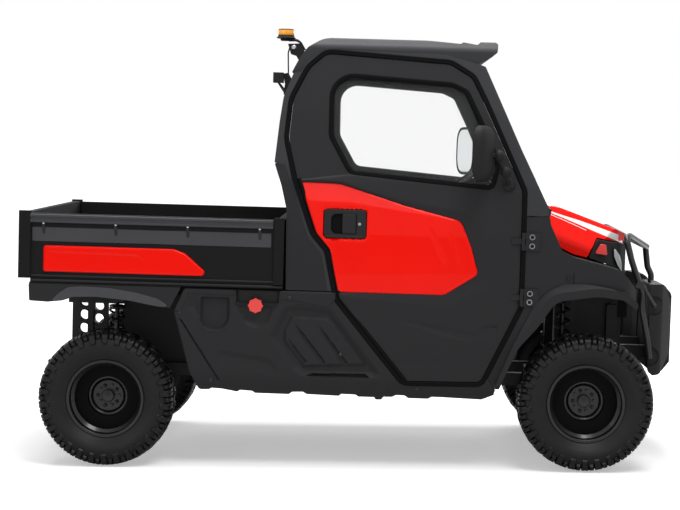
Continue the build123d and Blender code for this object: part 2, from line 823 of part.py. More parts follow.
def windshield():
    """Laminated screen between the pillars."""
    lean = [(588, 1964), (911, 1266), (911 - 8, 1262), (588 - 8, 1960)]
    return common(slab_y(lean, -900, 900), cab_interior(SKIN_T + FIT)) - roof() - cowl()


def roof():
    """Moulded roof, crowned across, with its front visor."""
    profile = ROOF_EDGE + ROOF_TOP
    across = [
        (-ROOF_HALF, 1840, 0),
        (-ROOF_HALF, 2004, 30),
        (-585, 2042, 120),
        (-300, 2056, 900),
        (300, 2056, 900),
        (585, 2042, 120),
        (ROOF_HALF, 2004, 30),
        (ROOF_HALF, 1840, 0),
    ]
    return common(slab_y(profile, -700, 700), slab_x(across, -500, 900))


def roll_cage():
    """Tubular safety cage inside the cab."""
    tubes = []
    for side in (-1, 1):
        hoop = [
            (868, side * 640, 1229),
            (868, side * 640, 1250),
            (575, side * 560, 1895),
            (-190, side * 560, 1935),
            (-262, side * 575, 1780),
            (-262, side * 650, 1400),
            (-212, side * 650, 900),
            (-212, side * 650, FLOOR_Z + FLOOR_T),
        ]
        tubes.append(bent_tube(hoop, 20, 90))
    tubes.append(rod((590, -556, 1890), (590, 556, 1890), 17))
    tubes.append(rod((-190, -560, 1915), (-190, 560, 1915), 17))
    tubes.append(rod((-262, -648, 1400), (-262, 648, 1400), 17))
    cage = tubes[0]
    for tube in tubes[1:]:
        cage = cage + tube
    return cage


def floor_pan():
    """Cab floor, toe board and bulkhead in one pressing."""
    t = FLOOR_T
    strip = [
        (-262, 840, 0),
        (-262, FLOOR_Z, 10),
        (690, FLOOR_Z, 30),
        (800, 560, 40),
        (BULKHEAD_X, 1000, 20),
        (BULKHEAD_X, 1180, 0),
        (BULKHEAD_X - t, 1180, 0),
        (BULKHEAD_X - t, 1000, 20),
        (800 - t, 570, 40),
        (682, FLOOR_Z + t, 20),
        (-262 + t, FLOOR_Z + t, 10),
        (-262 + t, 840, 0),
    ]
    return common(slab_y(strip, -900, 900), cab_interior(SKIN_T + 8))


def cowl():
    """Panel under the windscreen, back to the dashboard and out to the fenders."""
    strip = [(700, 1228, 0), (905, 1228, 0), (922, 1262, 6), (943, 1264, 6), (925, 1200, 0), (700, 1200, 0)]
    return common(slab_y(strip, -900, 900), cab_interior(SKIN_T + FIT))


def dashboard():
    """Dash moulding with instrument hood on the left."""
    back = BULKHEAD_X - FLOOR_T
    strip = [(back, 1010, 0), (700, 1010, 30), (640, 1120, 40), (668, 1200, 20), (back, 1200, 0)]
    dash = slab_y(strip, -650, 650)
    hood = slab_y([(640, 1190, 0), (660, 1250, 20), (720, 1262, 20), (760, 1200, 0), (760, 1190, 0)], 250, 510)
    dash = dash + hood - cowl() - rod(column_point(30), column_point(480), 27)
    return dash - rod(column_point(60), column_point(200), 60)


def seats():
    """Seat base, the two cushions and the two backs."""
    low = FLOOR_Z + FLOOR_T
    base = slab_y([(-236, 640, 0), (-236, 700, 0), (330, 700, 10), (345, low, 0), (325, low, 0), (312, 680, 10), (-200, 680, 10)], -620, 620)
    cushion = slab_y([(-170, 700.3, 20), (-175, 800, 30), (250, 820, 60), (350, 795, 40), (340, 700.3, 20)], 25, 600)
    back = slab_y([(-170, 800.6, 0), (-236, 1330, 40), (-160, 1345, 40), (-60, 850, 40), (-72, 805.3, 0)], 25, 600)
    return base, pair(cushion), pair(back)


def pedals():
    """Brake and accelerator pedals, the shift lever and its gate."""
    parts = []
    for y, half in ((330, 34), (200, 26)):
        arm = rod((793, y, 690), (690, y, 560), 8)
        pad = Pos(684, y, 556) * Rot(0, 50, 0) * Box(12, 2 * half, 70)
        parts.append((arm + pad).solid())
    lever = rod((690, 90, 1058), (560, 90, 1170), 8) + rod((565, 90, 1150), (553, 90, 1196), 19)
    parts.append(lever.solid())
    return Compound(children=parts)


# ---------------------------------------------------------------- doors
def make_door():
    """Right-hand door: shell, red panel, glass, handle, hinge leaves and mirror."""
    prism = slab_y(DOOR, -900, -500)
    shell = common(prism, skin_band(SKIN_T, 0)) - slab_y(WINDOW, -900, -500)
    red = slab_y(DOOR_RED, -900, -500)
    pocket = slab_y(HANDLE, -900, -500)
    shell = shell - common(red, skin_band(6, 30)) - common(pocket, skin_band(32, 30))
    panel = common(red, skin_band(6, PANEL_RAISE)) - pocket
    glass = common(slab_y(WINDOW, -900, -500), skin_band(20, -20 + GLASS_T))
    inner = [(-108, 1119, 8), (52, 1119, 8), (52, 1216, 8), (-108, 1216, 8)]
    handle = common(pocket, skin_band(32, PANEL_RAISE + 2)) - slab_y(inner, -900, -740)
    handle = handle + slab_y([(-44, 1125, 6), (23, 1125, 6), (23, 1217, 6), (-44, 1217, 6)], -762, -735)
    for low in HINGE_HEIGHTS:
        shell = shell + hinge_leaf(low, door=True)
    return shell, panel, glass, handle, mirror_unit()


HINGE_HEIGHTS = (1068, 804)
HINGE_H = 82


def hinge_leaf(low, door):
    """One leaf of a right-hand hinge; the door carries the middle knuckle, the body the outer two."""
    third = HINGE_H / 3
    if door:
        spans = [(low + third + FIT, low + 2 * third - FIT)]
        plate = block(755, HINGE_X, -900, -700, *spans[0])
    else:
        spans = [(low, low + third), (low + 2 * third, low + HINGE_H)]
        plate = block(HINGE_X + HINGE_R + 4, 888, -900, -700, low, low + HINGE_H)
        for z_low, z_high in spans:
            plate = plate + block(HINGE_X, 860, -900, -700, z_low, z_high)
    leaf = common(plate, skin_band(1, 8))
    for z_low, z_high in spans:
        leaf = leaf + rod((HINGE_X, -HINGE_Y, z_low), (HINGE_X, -HINGE_Y, z_high), HINGE_R)
    return leaf


def mirror_unit():
    """Wing mirror on its arm, carried by the door's front corner."""
    head = slab_x([(-85, -131, 60), (85, -131, 60), (85, 131, 60), (-85, 131, 60)], -26, 26)
    head = Pos(612, -862, 1514) * Rot(0, 0, -28) * head
    arm = bent_tube([(730, -752, 1375), (722, -790, 1400), (690, -815, 1500), (640, -850, 1514)], 9, 18)
    foot = Pos(730, -752, 1374) * Sphere(20)
    unit = head + arm + foot
    return unit - skin_band(SKIN_T, 0, 600, 900)


# ---------------------------------------------------------------- front end
def front_fenders():
    """Fenders with an open wheel arch and an inner liner, both sides, with the body's hinge leaves."""
    corners = FENDER_TOP + ARCH + [(640, 404, 0), (640, 700, 0), (760, 1222, 0)]
    whole = common(slab_y(corners, -900, -470), cab_interior(0))
    plan = slab_z([(600, -471), (600, -790), (1180, -790, 0), (1300, -770, 200), (1380, -640, 120), (1380, -471, 0)], 300, 1300)
    whole = common(whole, plan) - door_opening()
    cavity = slab_y([(866, 1190, 20), (915, 1190, 20), (970, 1050, 40), (1220, 968, 30), (1290, 900, 30), (1160, 890, 100), (955, 858, 60), (866, 740, 60)], -735, -440)
    cabin = block(500, BULKHEAD_X, -716, 0, 300, 1300)
    fender = whole - cavity - cabin - cowl() - grown_slab(SIDE_PANEL, FIT, -900, -500)
    lip = [(x, z, r) for x, z, r in ARCH[:-1]]
    outer = [(x + dx, z + dz, r) for (x, z, r), (dx, dz) in zip(reversed(lip), LIP_OUT)]
    flare = slab_y(lip + outer, -782, -735)
    fender = fender + flare
    for low in HINGE_HEIGHTS:
        fender = fender + hinge_leaf(low, door=False)
    return pair(fender.solid())


LIP_OUT = [(-26, 20), (-26, 26), (-26, 34), (0, 40), (10, 38), (6, 30)]


def hood_form(inset, profile):
    """Body under the hood's crown and skirts, the section swept down its slope, set in by an amount."""
    half = [
        (592 - inset, 700, 0),
        (586 - inset, 1195 - inset, 60),
        (478 - inset, 1338 - inset, 40),
        (425 - inset, 1332 - inset, 60),
    ]
    crown = [(-y, z, r) for y, z, r in half] + [(0, 1352 - inset, 1500)] + [(y, z, r) for y, z, r in reversed(half)]
    start = Plane(origin=(HOOD_REAR_X - 140, 0, 0), x_dir=(0, 1, 0), z_dir=(1, 0, 0))
    slope = radians(HOOD_SLOPE)
    swept = extrude(outline(start, crown), amount=700, dir=(cos(slope), 0, -sin(slope)))
    plan = [(800, -600, 0), (1150, -600, 200), (1285 - inset, -460, 120), (HOOD_NOSE_X - inset - 22, -262, 80)]
    plan += [(HOOD_NOSE_X - inset, -200, 200), (HOOD_NOSE_X - inset, 200, 200)]
    plan += [(HOOD_NOSE_X - inset - 22, 262, 80), (1285 - inset, 460, 120), (1150, 600, 200), (800, 600, 0)]
    return common(common(swept, slab_y(profile, -700, 700)), slab_z(plan, 600, 1500))


def hood():
    """Red hood, hollow beneath, with side skirts and hinge lugs; it tips forward about its nose."""
    bottom = [(1176, 1126, 10), (1128, 1032, 6), (1060, 1047, 40), (1001, 1076, 40), (943, 1194, 6)]
    nose = [(HOOD_NOSE_X, 1098, 0), (1240, 1114, 10)]
    shell = hood_form(0, HOOD_TOP + nose + bottom)
    lowered = [(x, z - HOOD_T, r) for x, z, r in HOOD_TOP[1:]]
    hollow = [(HOOD_REAR_X + HOOD_T, 1262 - HOOD_T, 8)] + lowered + [(HOOD_NOSE_X, 950, 0), (HOOD_REAR_X + HOOD_T, 950, 0)]
    shell = shell - hood_form(HOOD_T, hollow)
    x, z = HOOD_AXIS
    for side in (-1, 1):
        for y in (side * HOOD_LUG_Y - 14, side * HOOD_LUG_Y + 8):
            shell = shell + slab_y([(x - 26, 1122), (x - 8, z - 8, 7), (x + 8, z - 8, 7), (x + 8, 1116)], y, y + 6)
        shell = shell + rod((x, side * HOOD_LUG_Y - 14, z), (x, side * HOOD_LUG_Y + 14, z), 4)
    return shell


def front_plan(inset, back):
    """Plan of the nose between the lamps, bowed forward."""
    nose = HOOD_NOSE_X - inset
    front = [(nose - 40, -430, 20), (nose - 18, -262, 80), (nose, -200, 200), (nose, 200, 200), (nose - 18, 262, 80), (nose - 40, 430, 20)]
    return slab_z([(back, -430, 0)] + front + [(back, 430, 0)], GRILLE_LOW, GRILLE_TOP)


def grille():
    """Nose panel with its air slots, and the ears that carry the hood."""
    panel = front_plan(12, GRILLE_BACK_X - 40) - block(1200, GRILLE_BACK_X, -390, 390, GRILLE_LOW + 10, GRILLE_TOP - 12)
    for row in range(GRILLE_SLOTS):
        z = 915 + row * 26
        panel = panel - block(GRILLE_BACK_X + 8, 1400, -360, 360, z, z + 15)
    x, z = HOOD_AXIS
    for side in (-1, 1):
        y = side * HOOD_LUG_Y
        ear = slab_y([(x - 24, GRILLE_TOP - 20), (x - 7, z + 7, 6), (x + 7, z + 7, 6), (x + 5, GRILLE_TOP - 20)], y - 5, y + 5)
        panel = panel + (ear - rod((x, y - 10, z), (x, y + 10, z), 4 + FIT))
    return panel


def headlamps(fenders):
    """Lamp pods at the front corners, seated on the fenders."""
    pod = slab_y(POD, -620, -432)
    plan = slab_z([(1100, -432), (1100, -598, 10), (1215, -586, 120), (1300, -500, 60), (1332, -432, 0)], 800, 1200)
    return pair((common(pod, plan) - fenders).solids().sort_by(SortBy.VOLUME)[-1])


def bumper():
    """Moulded bumper, bowed across, with the pockets of the guard's feet."""
    half = [(1440, -BUMPER_HALF, 0), (1505, -BUMPER_HALF, 30), (1562, -395, 120), (1590, -250, 200), (1614, -90, 100)]
    back = [(1478, -330, 150), (1496, -150, 100)]
    plan = half + [(x, -y, r) for x, y, r in reversed(half)]
    plan += [(x, -y, r) for x, y, r in back] + list(reversed(back))
    body = common(slab_y(BUMPER_SIDE, -BUMPER_NOSE, BUMPER_NOSE), slab_z(plan, 300, 1000))
    side = common(slab_y(BUMPER_END, -600, 600), slab_z(plan, 300, 1000))
    body = body + (side - block(1300, 1700, 10 - BUMPER_NOSE, BUMPER_NOSE - 10, 300, 1000))
    for sign in (-1, 1):
        body = body - block(1300, 1498, sign * 200 - 22, sign * 200 + 22, 520, 580)
        for x, z in GUARD_FEET:
            body = body - Pos(x, sign * BUMPER_HALF, z) * Rot(90, 0, 0) * Cylinder(46, 24)
    return body - guard_pegs()


def guard_pegs():
    """Studs that hold the guard's feet to the bumper's ends."""
    pegs = None
    for sign in (-1, 1):
        for x, z in GUARD_FEET:
            peg = rod((x, sign * GUARD_Y, z), (x, sign * (BUMPER_HALF - 40), z), 9)
            pegs = peg if pegs is None else pegs + peg
    return pegs


def brush_guard():
    """Tube guard: one bent hoop, a centre upright and the braces of its feet."""
    side = [(1453, 548), (1440, 640), (1413, 770), (1408, 862), (1392, 906), (1352, 1015), (1322, 1124)]
    right = [(x, -GUARD_Y, z) for x, z in side]
    crest = [(1340, -470, 1138), (1484, -60, 1064), (1484, 60, 1064), (1340, 470, 1138)]
    hoop = bent_tube(right + crest + [(x, -y, z) for x, y, z in reversed(right)], TUBE_R, 55)
    guard = hoop + bent_tube([(1486, 0, 1064), (1500, 0, 960), (1520, 0, 920), (1520, 0, 879)], TUBE_R, 40)
    for sign in (-1, 1):
        y = sign * (GUARD_Y + 4)
        guard = guard + rod((1398, y, 918), (1470, y, 802), 9.5)
        guard = guard + rod((1395, sign * (GUARD_Y - 16), 904), (1395, sign * (GUARD_Y + 19), 904), 19)
    return guard + guard_pegs()


def side_panels():
    """Sill and engine-bay side covers with their scoops, vents and filler pocket."""
    panel = common(slab_y(SIDE_PANEL, -900, -500), skin_band(PANEL_T, 4)) - door_opening()
    for corners, depth in ((U_SCOOP, 20), (FILLER_SCOOP, 16), (VENT, 18)):
        panel = panel - common(slab_y(corners, -900, -500), skin_band(depth, 30))
    for x, z in VENT_SLATS:
        slat = slab_y([(x, z), (x + 26, z), (x + 166, z - 196), (x + 140, z - 196)], -900, -500)
        panel = panel + common(common(slat, slab_y(VENT, -900, -500)), skin_band(PANEL_T, 0))
    seam = slab_y([(-788, 694), (-780, 698), (-607, 412), (-615, 408)], -900, -500)
    panel = panel - common(seam, skin_band(2, 30))
    for bar in outriggers():
        panel = panel - bar
    x, z = FUEL_CAP
    panel = panel - rod((x, -900, z), (x, -738, z), FUEL_CAP_R + 8) - rod((x, -900, z), (x, -500, z), 22)
    return pair(panel.solids().sort_by(SortBy.VOLUME)[-1])


def fuel_cap():
    """Ribbed filler cap on its neck, right side only."""
    x, z = FUEL_CAP
    cap = rod((x, -768, z), (x, -738, z), FUEL_CAP_R) + rod((x, -738.5, z), (x, -690, z), 21.7)
    for i in range(8):
        rib = Pos(x, -755, z) * Rot(0, 45 * i, 0) * Pos(FUEL_CAP_R, 0, 0) * Box(7, 24, 9)
        cap = cap + rib
    return cap


# ---------------------------------------------------------------- bed
def bed_tub():
    """Load bed: floor, side and front walls, posts, sub-rails, pivot and lift ears."""
    floor_low = BED_FLOOR_Z - BED_FLOOR_T
    tub = block(BED_REAR_X, BED_FRONT_X, -BED_HALF + 12, BED_HALF - 12, floor_low, BED_FLOOR_Z)
    tub = tub + block(BED_FRONT_X - 36, BED_FRONT_X, -BED_HALF + 12, BED_HALF - 12, floor_low, BED_RAIL_Z)
    for side in (-1, 1):
        tub = tub + bed_side(side)
    for row in range(BED_RIBS):
        y = (row - (BED_RIBS - 1) / 2) * 118
        tub = tub + block(BED_REAR_X, BED_FRONT_X - 36, y - 24, y + 24, BED_FLOOR_Z, BED_FLOOR_Z + 9)
    for y in (-20 - 12, 20):
        tub = tub + ear_plate(LIFT_EYE, 20, floor_low, y, y + 12)
    x, z = LIFT_EYE
    return tub + rod((x, -32, z), (x, 32, z), LIFT_PIN_R)


def bed_side(side):
    """Wall, rail, posts and sub-rail of one side of the bed."""

    def box(x_low, x_high, y_low, y_high, z_low, z_high):
        near, far = sorted((side * y_low, side * y_high))
        return block(x_low, x_high, near, far, z_low, z_high)

    outer = BED_HALF - 8
    wall = box(BED_REAR_X, BED_FRONT_X, outer - BED_WALL, outer, BED_SILL_Z, BED_RAIL_Z)
    wall = wall - box(BED_REAR_X + 8, BED_FRONT_X - 60, outer - 5, outer + 5, 1045, 1112)
    wall = wall + box(BED_REAR_X, BED_FRONT_X - 40, outer - BED_WALL, BED_HALF, BED_RAIL_Z - 34, BED_RAIL_Z)
    wall = wall + box(BED_FRONT_X - 46, BED_FRONT_X, outer - 40, BED_HALF + 4, BED_SILL_Z, POST_Z - 3)
    post = box(BED_REAR_X - 55, BED_REAR_X, POST_IN_Y, BED_HALF + 4, BED_SILL_Z, POST_Z)
    hole = rod((TAILGATE_AXIS[0], side * (POST_IN_Y - 5), TAILGATE_AXIS[1]), (TAILGATE_AXIS[0], side * (POST_IN_Y + 20), TAILGATE_AXIS[1]), 6 + FIT)
    floor_low = BED_FLOOR_Z - BED_FLOOR_T
    rail = box(-1250, -345, RAIL_Y - 22, RAIL_Y + 22, BED_SEAT_Z + FIT, floor_low)
    ears = None
    for near in (14, -24):
        y = side * RAIL_Y + near
        ear = ear_plate(BED_PIVOT, 20, floor_low, y, y + 10)
        ear = ear - rod((BED_PIVOT[0], y - 1, BED_PIVOT[1]), (BED_PIVOT[0], y + 11, BED_PIVOT[1]), BED_PIN_R + FIT)
        ears = ear if ears is None else ears + ear
    return wall + (post - hole) + rail + ears


def bed_fenders():
    """Moulded skirts under the bed over the rear wheels."""
    skirt = slab_y(BED_FENDER, -BED_HALF + 6, -640)
    inner = [(x, z + 26, r) for x, z, r in BED_FENDER[3:8]]
    hollow = slab_y([(-1490, 830, 0), (-1490, 786, 6)] + inner + [(-850, 790, 10), (-820, 830, 0)], -BED_HALF + 30, -600)
    floor_low = BED_FLOOR_Z - BED_FLOOR_T
    lip = slab_y([(-1511, 846), (-1511, floor_low), (-792, floor_low), (-792, 846)], -BED_HALF + 14, -640)
    return pair((skirt - hollow + lip - block(BED_REAR_X - 20, -700, -700, -600, 700, 829)).solid())


def bed_trim():
    """Raised red panels on the bed's sides."""
    outer = BED_HALF - 8
    plate = slab_y(BED_TRIM, -(outer + 9), -outer)
    return pair(plate)


def tailgate():
    """Rear gate on its trunnion pins, with a pressed panel and a latch bar."""
    x = TAILGATE_X
    half = POST_IN_Y - 6
    gate = block(x, x + TAILGATE_T, -half, half, TAILGATE_AXIS[1] - 6, POST_Z - 8)
    gate = gate - block(x - 5, x + 7, -half + 60, half - 60, BED_FLOOR_Z + 60, POST_Z - 60)
    gate = gate + block(x - 6, x + 8, -90, 90, POST_Z - 48, POST_Z - 22)
    ax, az = TAILGATE_AXIS
    return gate + rod((ax, -POST_IN_Y - 18, az), (ax, POST_IN_Y + 18, az), 6)


def lift_axis_point(distance):
    """Point on the lift cylinder's axis, measured from its foot pin."""
    fx, fz = LIFT_FOOT
    ex, ez = LIFT_EYE
    length = hypot(ex - fx, ez - fz)
    return (fx + (ex - fx) * distance / length, 0, fz + (ez - fz) * distance / length)


def lift_cylinder():
    """Barrel and rod of the tipping cylinder."""
    length = hypot(LIFT_EYE[0] - LIFT_FOOT[0], LIFT_EYE[1] - LIFT_FOOT[1])
    gland = length - LIFT_EYE_R - 14
    foot = rod((LIFT_FOOT[0], -20, LIFT_FOOT[1]), (LIFT_FOOT[0], 20, LIFT_FOOT[1]), LIFT_PIN_R + 10)
    barrel = foot + rod(lift_axis_point(12), lift_axis_point(60), 16) + rod(lift_axis_point(44), lift_axis_point(gland), 30)
    barrel = barrel - rod((LIFT_FOOT[0], -30, LIFT_FOOT[1]), (LIFT_FOOT[0], 30, LIFT_FOOT[1]), LIFT_PIN_R + FIT)
    barrel = barrel - rod(lift_axis_point(54), lift_axis_point(gland + 10), LIFT_ROD_R + FIT)
    eye = rod((LIFT_EYE[0], -15, LIFT_EYE[1]), (LIFT_EYE[0], 15, LIFT_EYE[1]), LIFT_EYE_R)
    bar = rod(lift_axis_point(58), lift_axis_point(length - LIFT_EYE_R + 4), LIFT_ROD_R) + eye
    bar = bar - rod((LIFT_EYE[0], -20, LIFT_EYE[1]), (LIFT_EYE[0], 20, LIFT_EYE[1]), LIFT_EYE_R - 8)
    return barrel, bar


# ---------------------------------------------------------------- lamps behind the cab
def beacon():
    """Warning beacon and its folding bracket on the roof's rear edge."""
    x, z = BEACON
    base = Pos(x, 0, z - 9) * Cylinder(50, 18)
    arm = slab_y([(-240, 1962, 0), (-206, 2000, 0), (-332, z - 18, 10), (x - 10, z - 18, 0), (-352, 1990, 8)], -20, 20)
    bracket = base + arm + rod((-326, -26, 2018), (-326, 26, 2018), 12)
    dome = Pos(x, 0, z + 20) * Cylinder(40, 40) + Pos(x, 0, z + 44) * Cylinder(25, 8)
    dome = fillet(dome.edges().filter_by(GeomType.CIRCLE).group_by(Axis.Z)[2], 6)
    return bracket - roof(), dome


def work_lamp():
    """Rear-facing work lamp on its stay."""
    head = block(-424, -374, -55, 55, 1838, 1889)
    stay = slab_y([(-404, 1838, 0), (-392, 1838, 0), (-330, 1768, 0), (-330, 1750, 0), (-345, 1750, 0)], -15, 15)
    return head + stay


def build_all():
    """Every node by name."""
    nodes = wheels()
    nodes["chassis_frame"] = chassis_frame()
    nodes["suspension_arms"] = Compound(children=solids_of(front_suspension()) + solids_of(rear_suspension()))
    nodes["coilovers"] = coilovers()
    nodes["engine"] = engine()
    nodes["drive_axles"] = Compound(children=solids_of(axle_cases()) + solids_of(half_shafts()))
    nodes["muffler"] = muffler()
    nodes["knuckle_right"] = knuckle()
    nodes["knuckle_left"] = left_of(knuckle())
    nodes["steering_rack"] = steering_rack()
    nodes["steering_wheel"] = steering_wheel()
    nodes["steering_column"] = steering_column()
    nodes["cab_sides"] = cab_sides()
    nodes["rear_corner_panels"] = rear_corner_panels()
    wall, glass = rear_wall()
    nodes["rear_wall"] = wall
    nodes["cab_glass"] = Compound(children=solids_of(glass) + solids_of(windshield()))
    nodes["roof"] = roof()
    nodes["roll_cage"] = roll_cage()
    floor = floor_pan()
    nodes["floor_pan"] = floor
    nodes["cowl"] = cowl()
    dash = dashboard()
    nodes["dashboard"] = dash
    base, cushions, backs = seats()
    nodes["seat_base"] = base
    nodes["seat_cushions"] = cushions
    nodes["seat_backs"] = backs
    nodes["pedals_and_lever"] = pedals() - floor - dash
    shell, panel, pane, handle, mirror_head = make_door()
    for side, place in (("right", lambda s: s), ("left", left_of)):
        nodes["door_shell_" + side] = place(shell)
        nodes["door_panel_" + side] = place(panel)
        nodes["door_glass_" + side] = place(pane)
        nodes["door_fittings_" + side] = place(Compound(children=solids_of(handle) + solids_of(mirror_head)))
    fenders = front_fenders()
    nodes["front_fenders"] = fenders
    nodes["hood"] = hood()
    nodes["grille"] = grille()
    nodes["headlamps"] = headlamps(fenders)
    nodes["bumper"] = bumper()
    nodes["brush_guard"] = brush_guard()
    nodes["side_panels"] = side_panels()
    nodes["fuel_cap"] = fuel_cap()
    nodes["bed_tub"] = bed_tub()
    nodes["bed_fenders"] = bed_fenders()
    nodes["bed_trim"] = bed_trim()
    nodes["tailgate"] = tailgate()
    barrel, lift_rod = lift_cylinder()
    nodes["lift_barrel"] = barrel
    nodes["lift_rod"] = lift_rod
    bracket, dome = beacon()
    nodes["beacon_bracket"] = bracket
    nodes["beacon_dome"] = dome
    nodes["work_lamp"] = work_lamp() - wall
    return nodes


def export_all(nodes):
    """Set the body down on its rake, centre the whole over the origin and write one file a node."""
    raked = {name: Rot(0, RAKE, 0) * shape for name, shape in nodes.items()}
    low = min(shape.bounding_box().min.X for shape in raked.values())
    high = max(shape.bounding_box().max.X for shape in raked.values())
    shift = Pos(-(low + high) / 2, 0, 0)
    for name, shape in raked.items():
        export_step(shift * shape, "parts/" + name + ".step")


if __name__ == "__main__":
    export_all(build_all())
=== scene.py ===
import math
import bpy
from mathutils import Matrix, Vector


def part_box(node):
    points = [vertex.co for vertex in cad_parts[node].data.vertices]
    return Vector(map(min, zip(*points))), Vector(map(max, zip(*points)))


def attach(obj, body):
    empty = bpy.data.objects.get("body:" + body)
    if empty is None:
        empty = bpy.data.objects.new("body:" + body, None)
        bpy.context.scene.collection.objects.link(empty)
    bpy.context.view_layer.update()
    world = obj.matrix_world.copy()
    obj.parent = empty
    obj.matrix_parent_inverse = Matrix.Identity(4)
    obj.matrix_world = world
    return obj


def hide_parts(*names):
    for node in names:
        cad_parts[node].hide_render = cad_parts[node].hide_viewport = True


bl_info = {
    "name": "Side-by-side utility vehicle looks",
    "version": (1, 0, 0),
    "blender": (4, 5, 0),
    "location": "3D View > Sidebar > Utility vehicle",
    "description": "Dresses the packed side-by-side vehicle: finishes, tyres, springs, seats, trim, bolts and stage",
    "category": "Object",
}

import bmesh
import bpy
import numpy as np
from bpy.props import FloatProperty, FloatVectorProperty, IntProperty, PointerProperty
from mathutils import Matrix

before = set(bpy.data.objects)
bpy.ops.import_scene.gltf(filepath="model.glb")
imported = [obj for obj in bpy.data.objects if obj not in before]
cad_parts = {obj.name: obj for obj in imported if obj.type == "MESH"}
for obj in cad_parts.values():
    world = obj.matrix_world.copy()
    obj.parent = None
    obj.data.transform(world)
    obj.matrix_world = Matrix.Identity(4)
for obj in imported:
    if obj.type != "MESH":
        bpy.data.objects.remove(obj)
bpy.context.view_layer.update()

# ------------------------------------------------------------------ body frame
# sizes of the body are in millimetres: X ahead from between the axles, Y to the left, Z up from the floor
RAKE = math.radians(1.1)  # nose down
TYRE_R = 324.0
TYRE_W = 250.0
WHEELBASE = 2.28  # metres
SHIFT = sum(corner.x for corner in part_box("tyre_front_right")) / 2 - WHEELBASE / 2  # body's zero in the row frame
WHEEL_Y = 635.0

# side skin of the cab: height, half-width, corner radius
SKIN = [(330, 700, 0), (430, 742, 120), (640, 758, 200), (1120, 764, 300), (1360, 752, 250), (1700, 704, 500),
        (2090, 632, 0)]
# outlines on the right-hand side: x, z, corner radius
DOOR = [
    (-258, 1374, 60), (-303, 1560, 160), (-287, 1745, 160), (-215, 1893, 120), (-135, 1962, 60), (447, 1926, 60),
    (548, 1866, 60), (607, 1752, 200), (797, 1343, 50), (797, 800, 60), (628, 438, 35), (268, 433, 40),
    (-50, 815, 30), (-60, 860, 40), (-100, 1046, 60), (-168, 1125, 50),
]
WINDOW = [
    (-4, 1414, 50), (-98, 1580, 50), (-100, 1860, 95), (455, 1825, 60), (520, 1796, 40), (592, 1652, 200),
    (676, 1468, 18), (650, 1362, 22),
]
DOOR_RED = [
    (-246, 1363, 10), (-60, 1360, 200), (250, 1262, 500), (515, 1196, 50), (566, 1075, 300), (604, 948, 30),
    (446, 845, 60), (-54, 846, 12), (-94, 1044, 60), (-162, 1122, 50),
]
HANDLE = [(-124, 1103, 14), (68, 1103, 14), (68, 1232, 14), (-124, 1232, 14)]
FRONT_AXLE, REAR_AXLE = (1133.57, 345.82), (-1145.99, 302.05)
BED_HALF = 780.0
OUT = (0, -1, 0)
UP = (0, 0, 1)
AHEAD = (1, 0, 0)
ON_AXIS = 0.01  # radius that stands for a point on a lathe's axis
TO_MIDDLE = 1e-4  # scale that stands for a ring shrunk to its middle


def row(points):
    """Points in millimetres of the raked body as metres of the row frame: turned by the rake about Y, then shifted."""
    p = np.asarray(points, float)
    x, y, z = p[..., 0], p[..., 1], p[..., 2]
    c, s = math.cos(RAKE), math.sin(RAKE)
    return np.stack([(x * c + z * s) / 1000 + SHIFT, y / 1000, (z * c - x * s) / 1000], -1)


def rounded(corners, closed=True, steps=8):
    """Corner points (u, v, radius) as a polyline: each corner is an arc tangent to its two sides, with its
    reach limited to 0.48 of the shorter side."""
    pts = np.array([c[:2] for c in corners], float)
    radii = np.array([c[2] if len(c) > 2 else 0 for c in corners], float)
    back, ahead = np.roll(pts, 1, 0) - pts, np.roll(pts, -1, 0) - pts
    lb, la = np.linalg.norm(back, axis=1), np.linalg.norm(ahead, axis=1)
    ub, ua = back / lb[:, None], ahead / la[:, None]
    half = np.arccos(np.clip((ub * ua).sum(1), -1, 1)) / 2
    reach = np.minimum(np.minimum(radii / np.tan(half), 0.48 * lb), 0.48 * la)
    flat = (half > 1.55) | (radii == 0)
    if not closed:
        flat[[0, -1]] = True
    reach = np.where(flat, 0.0, reach)
    radius = reach * np.tan(half)
    inward = ub + ua
    inward /= np.maximum(np.linalg.norm(inward, axis=1), 1e-9)[:, None]
    centre = pts + inward * (radius / np.sin(half))[:, None]
    start, end = pts + ub * reach[:, None], pts + ua * reach[:, None]
    a0 = np.arctan2(*(start - centre).T[::-1])
    a1 = np.arctan2(*(end - centre).T[::-1])
    turn = (a1 - a0 + math.pi) % (2 * math.pi) - math.pi
    t = np.linspace(0, 1, steps)
    ang = a0[:, None] + turn[:, None] * t
    arc = centre[:, None, :] + radius[:, None, None] * np.stack([np.cos(ang), np.sin(ang)], -1)
    arc = np.where(flat[:, None, None], pts[:, None, :], arc)
    line = arc.reshape(-1, 2)
    keep = np.r_[True, np.linalg.norm(np.diff(line, axis=0), axis=1) > 1e-6]
    return line[keep]


def resample(line, count, closed=True, dense=None):
    """A polyline as spaced points: linear interpolation along its arc length, which counts more where dense
    says so."""
    line = np.asarray(line, float)
    if closed:
        line = np.vstack([line, line[:1]])
    steps = np.linalg.norm(np.diff(line, axis=0), axis=1)
    if dense is not None:
        steps = steps * dense((line[1:] + line[:-1]) / 2)
    run = np.r_[0, np.cumsum(steps)]
    at = np.linspace(0, run[-1], count, endpoint=not closed)
    return np.stack([np.interp(at, run, line[:, k]) for k in range(line.shape[1])], -1)


def outline(corners, count):
    """Rounded closed outline of corner points as evenly spaced points."""
    return resample(rounded(corners), count)


SKIN_LINE = rounded(SKIN, closed=False, steps=12)


def skin(z):
    """Half-width of the cab's side at a height: linear interpolation of the rounded skin line."""
    return np.interp(z, SKIN_LINE[:, 0], SKIN_LINE[:, 1])


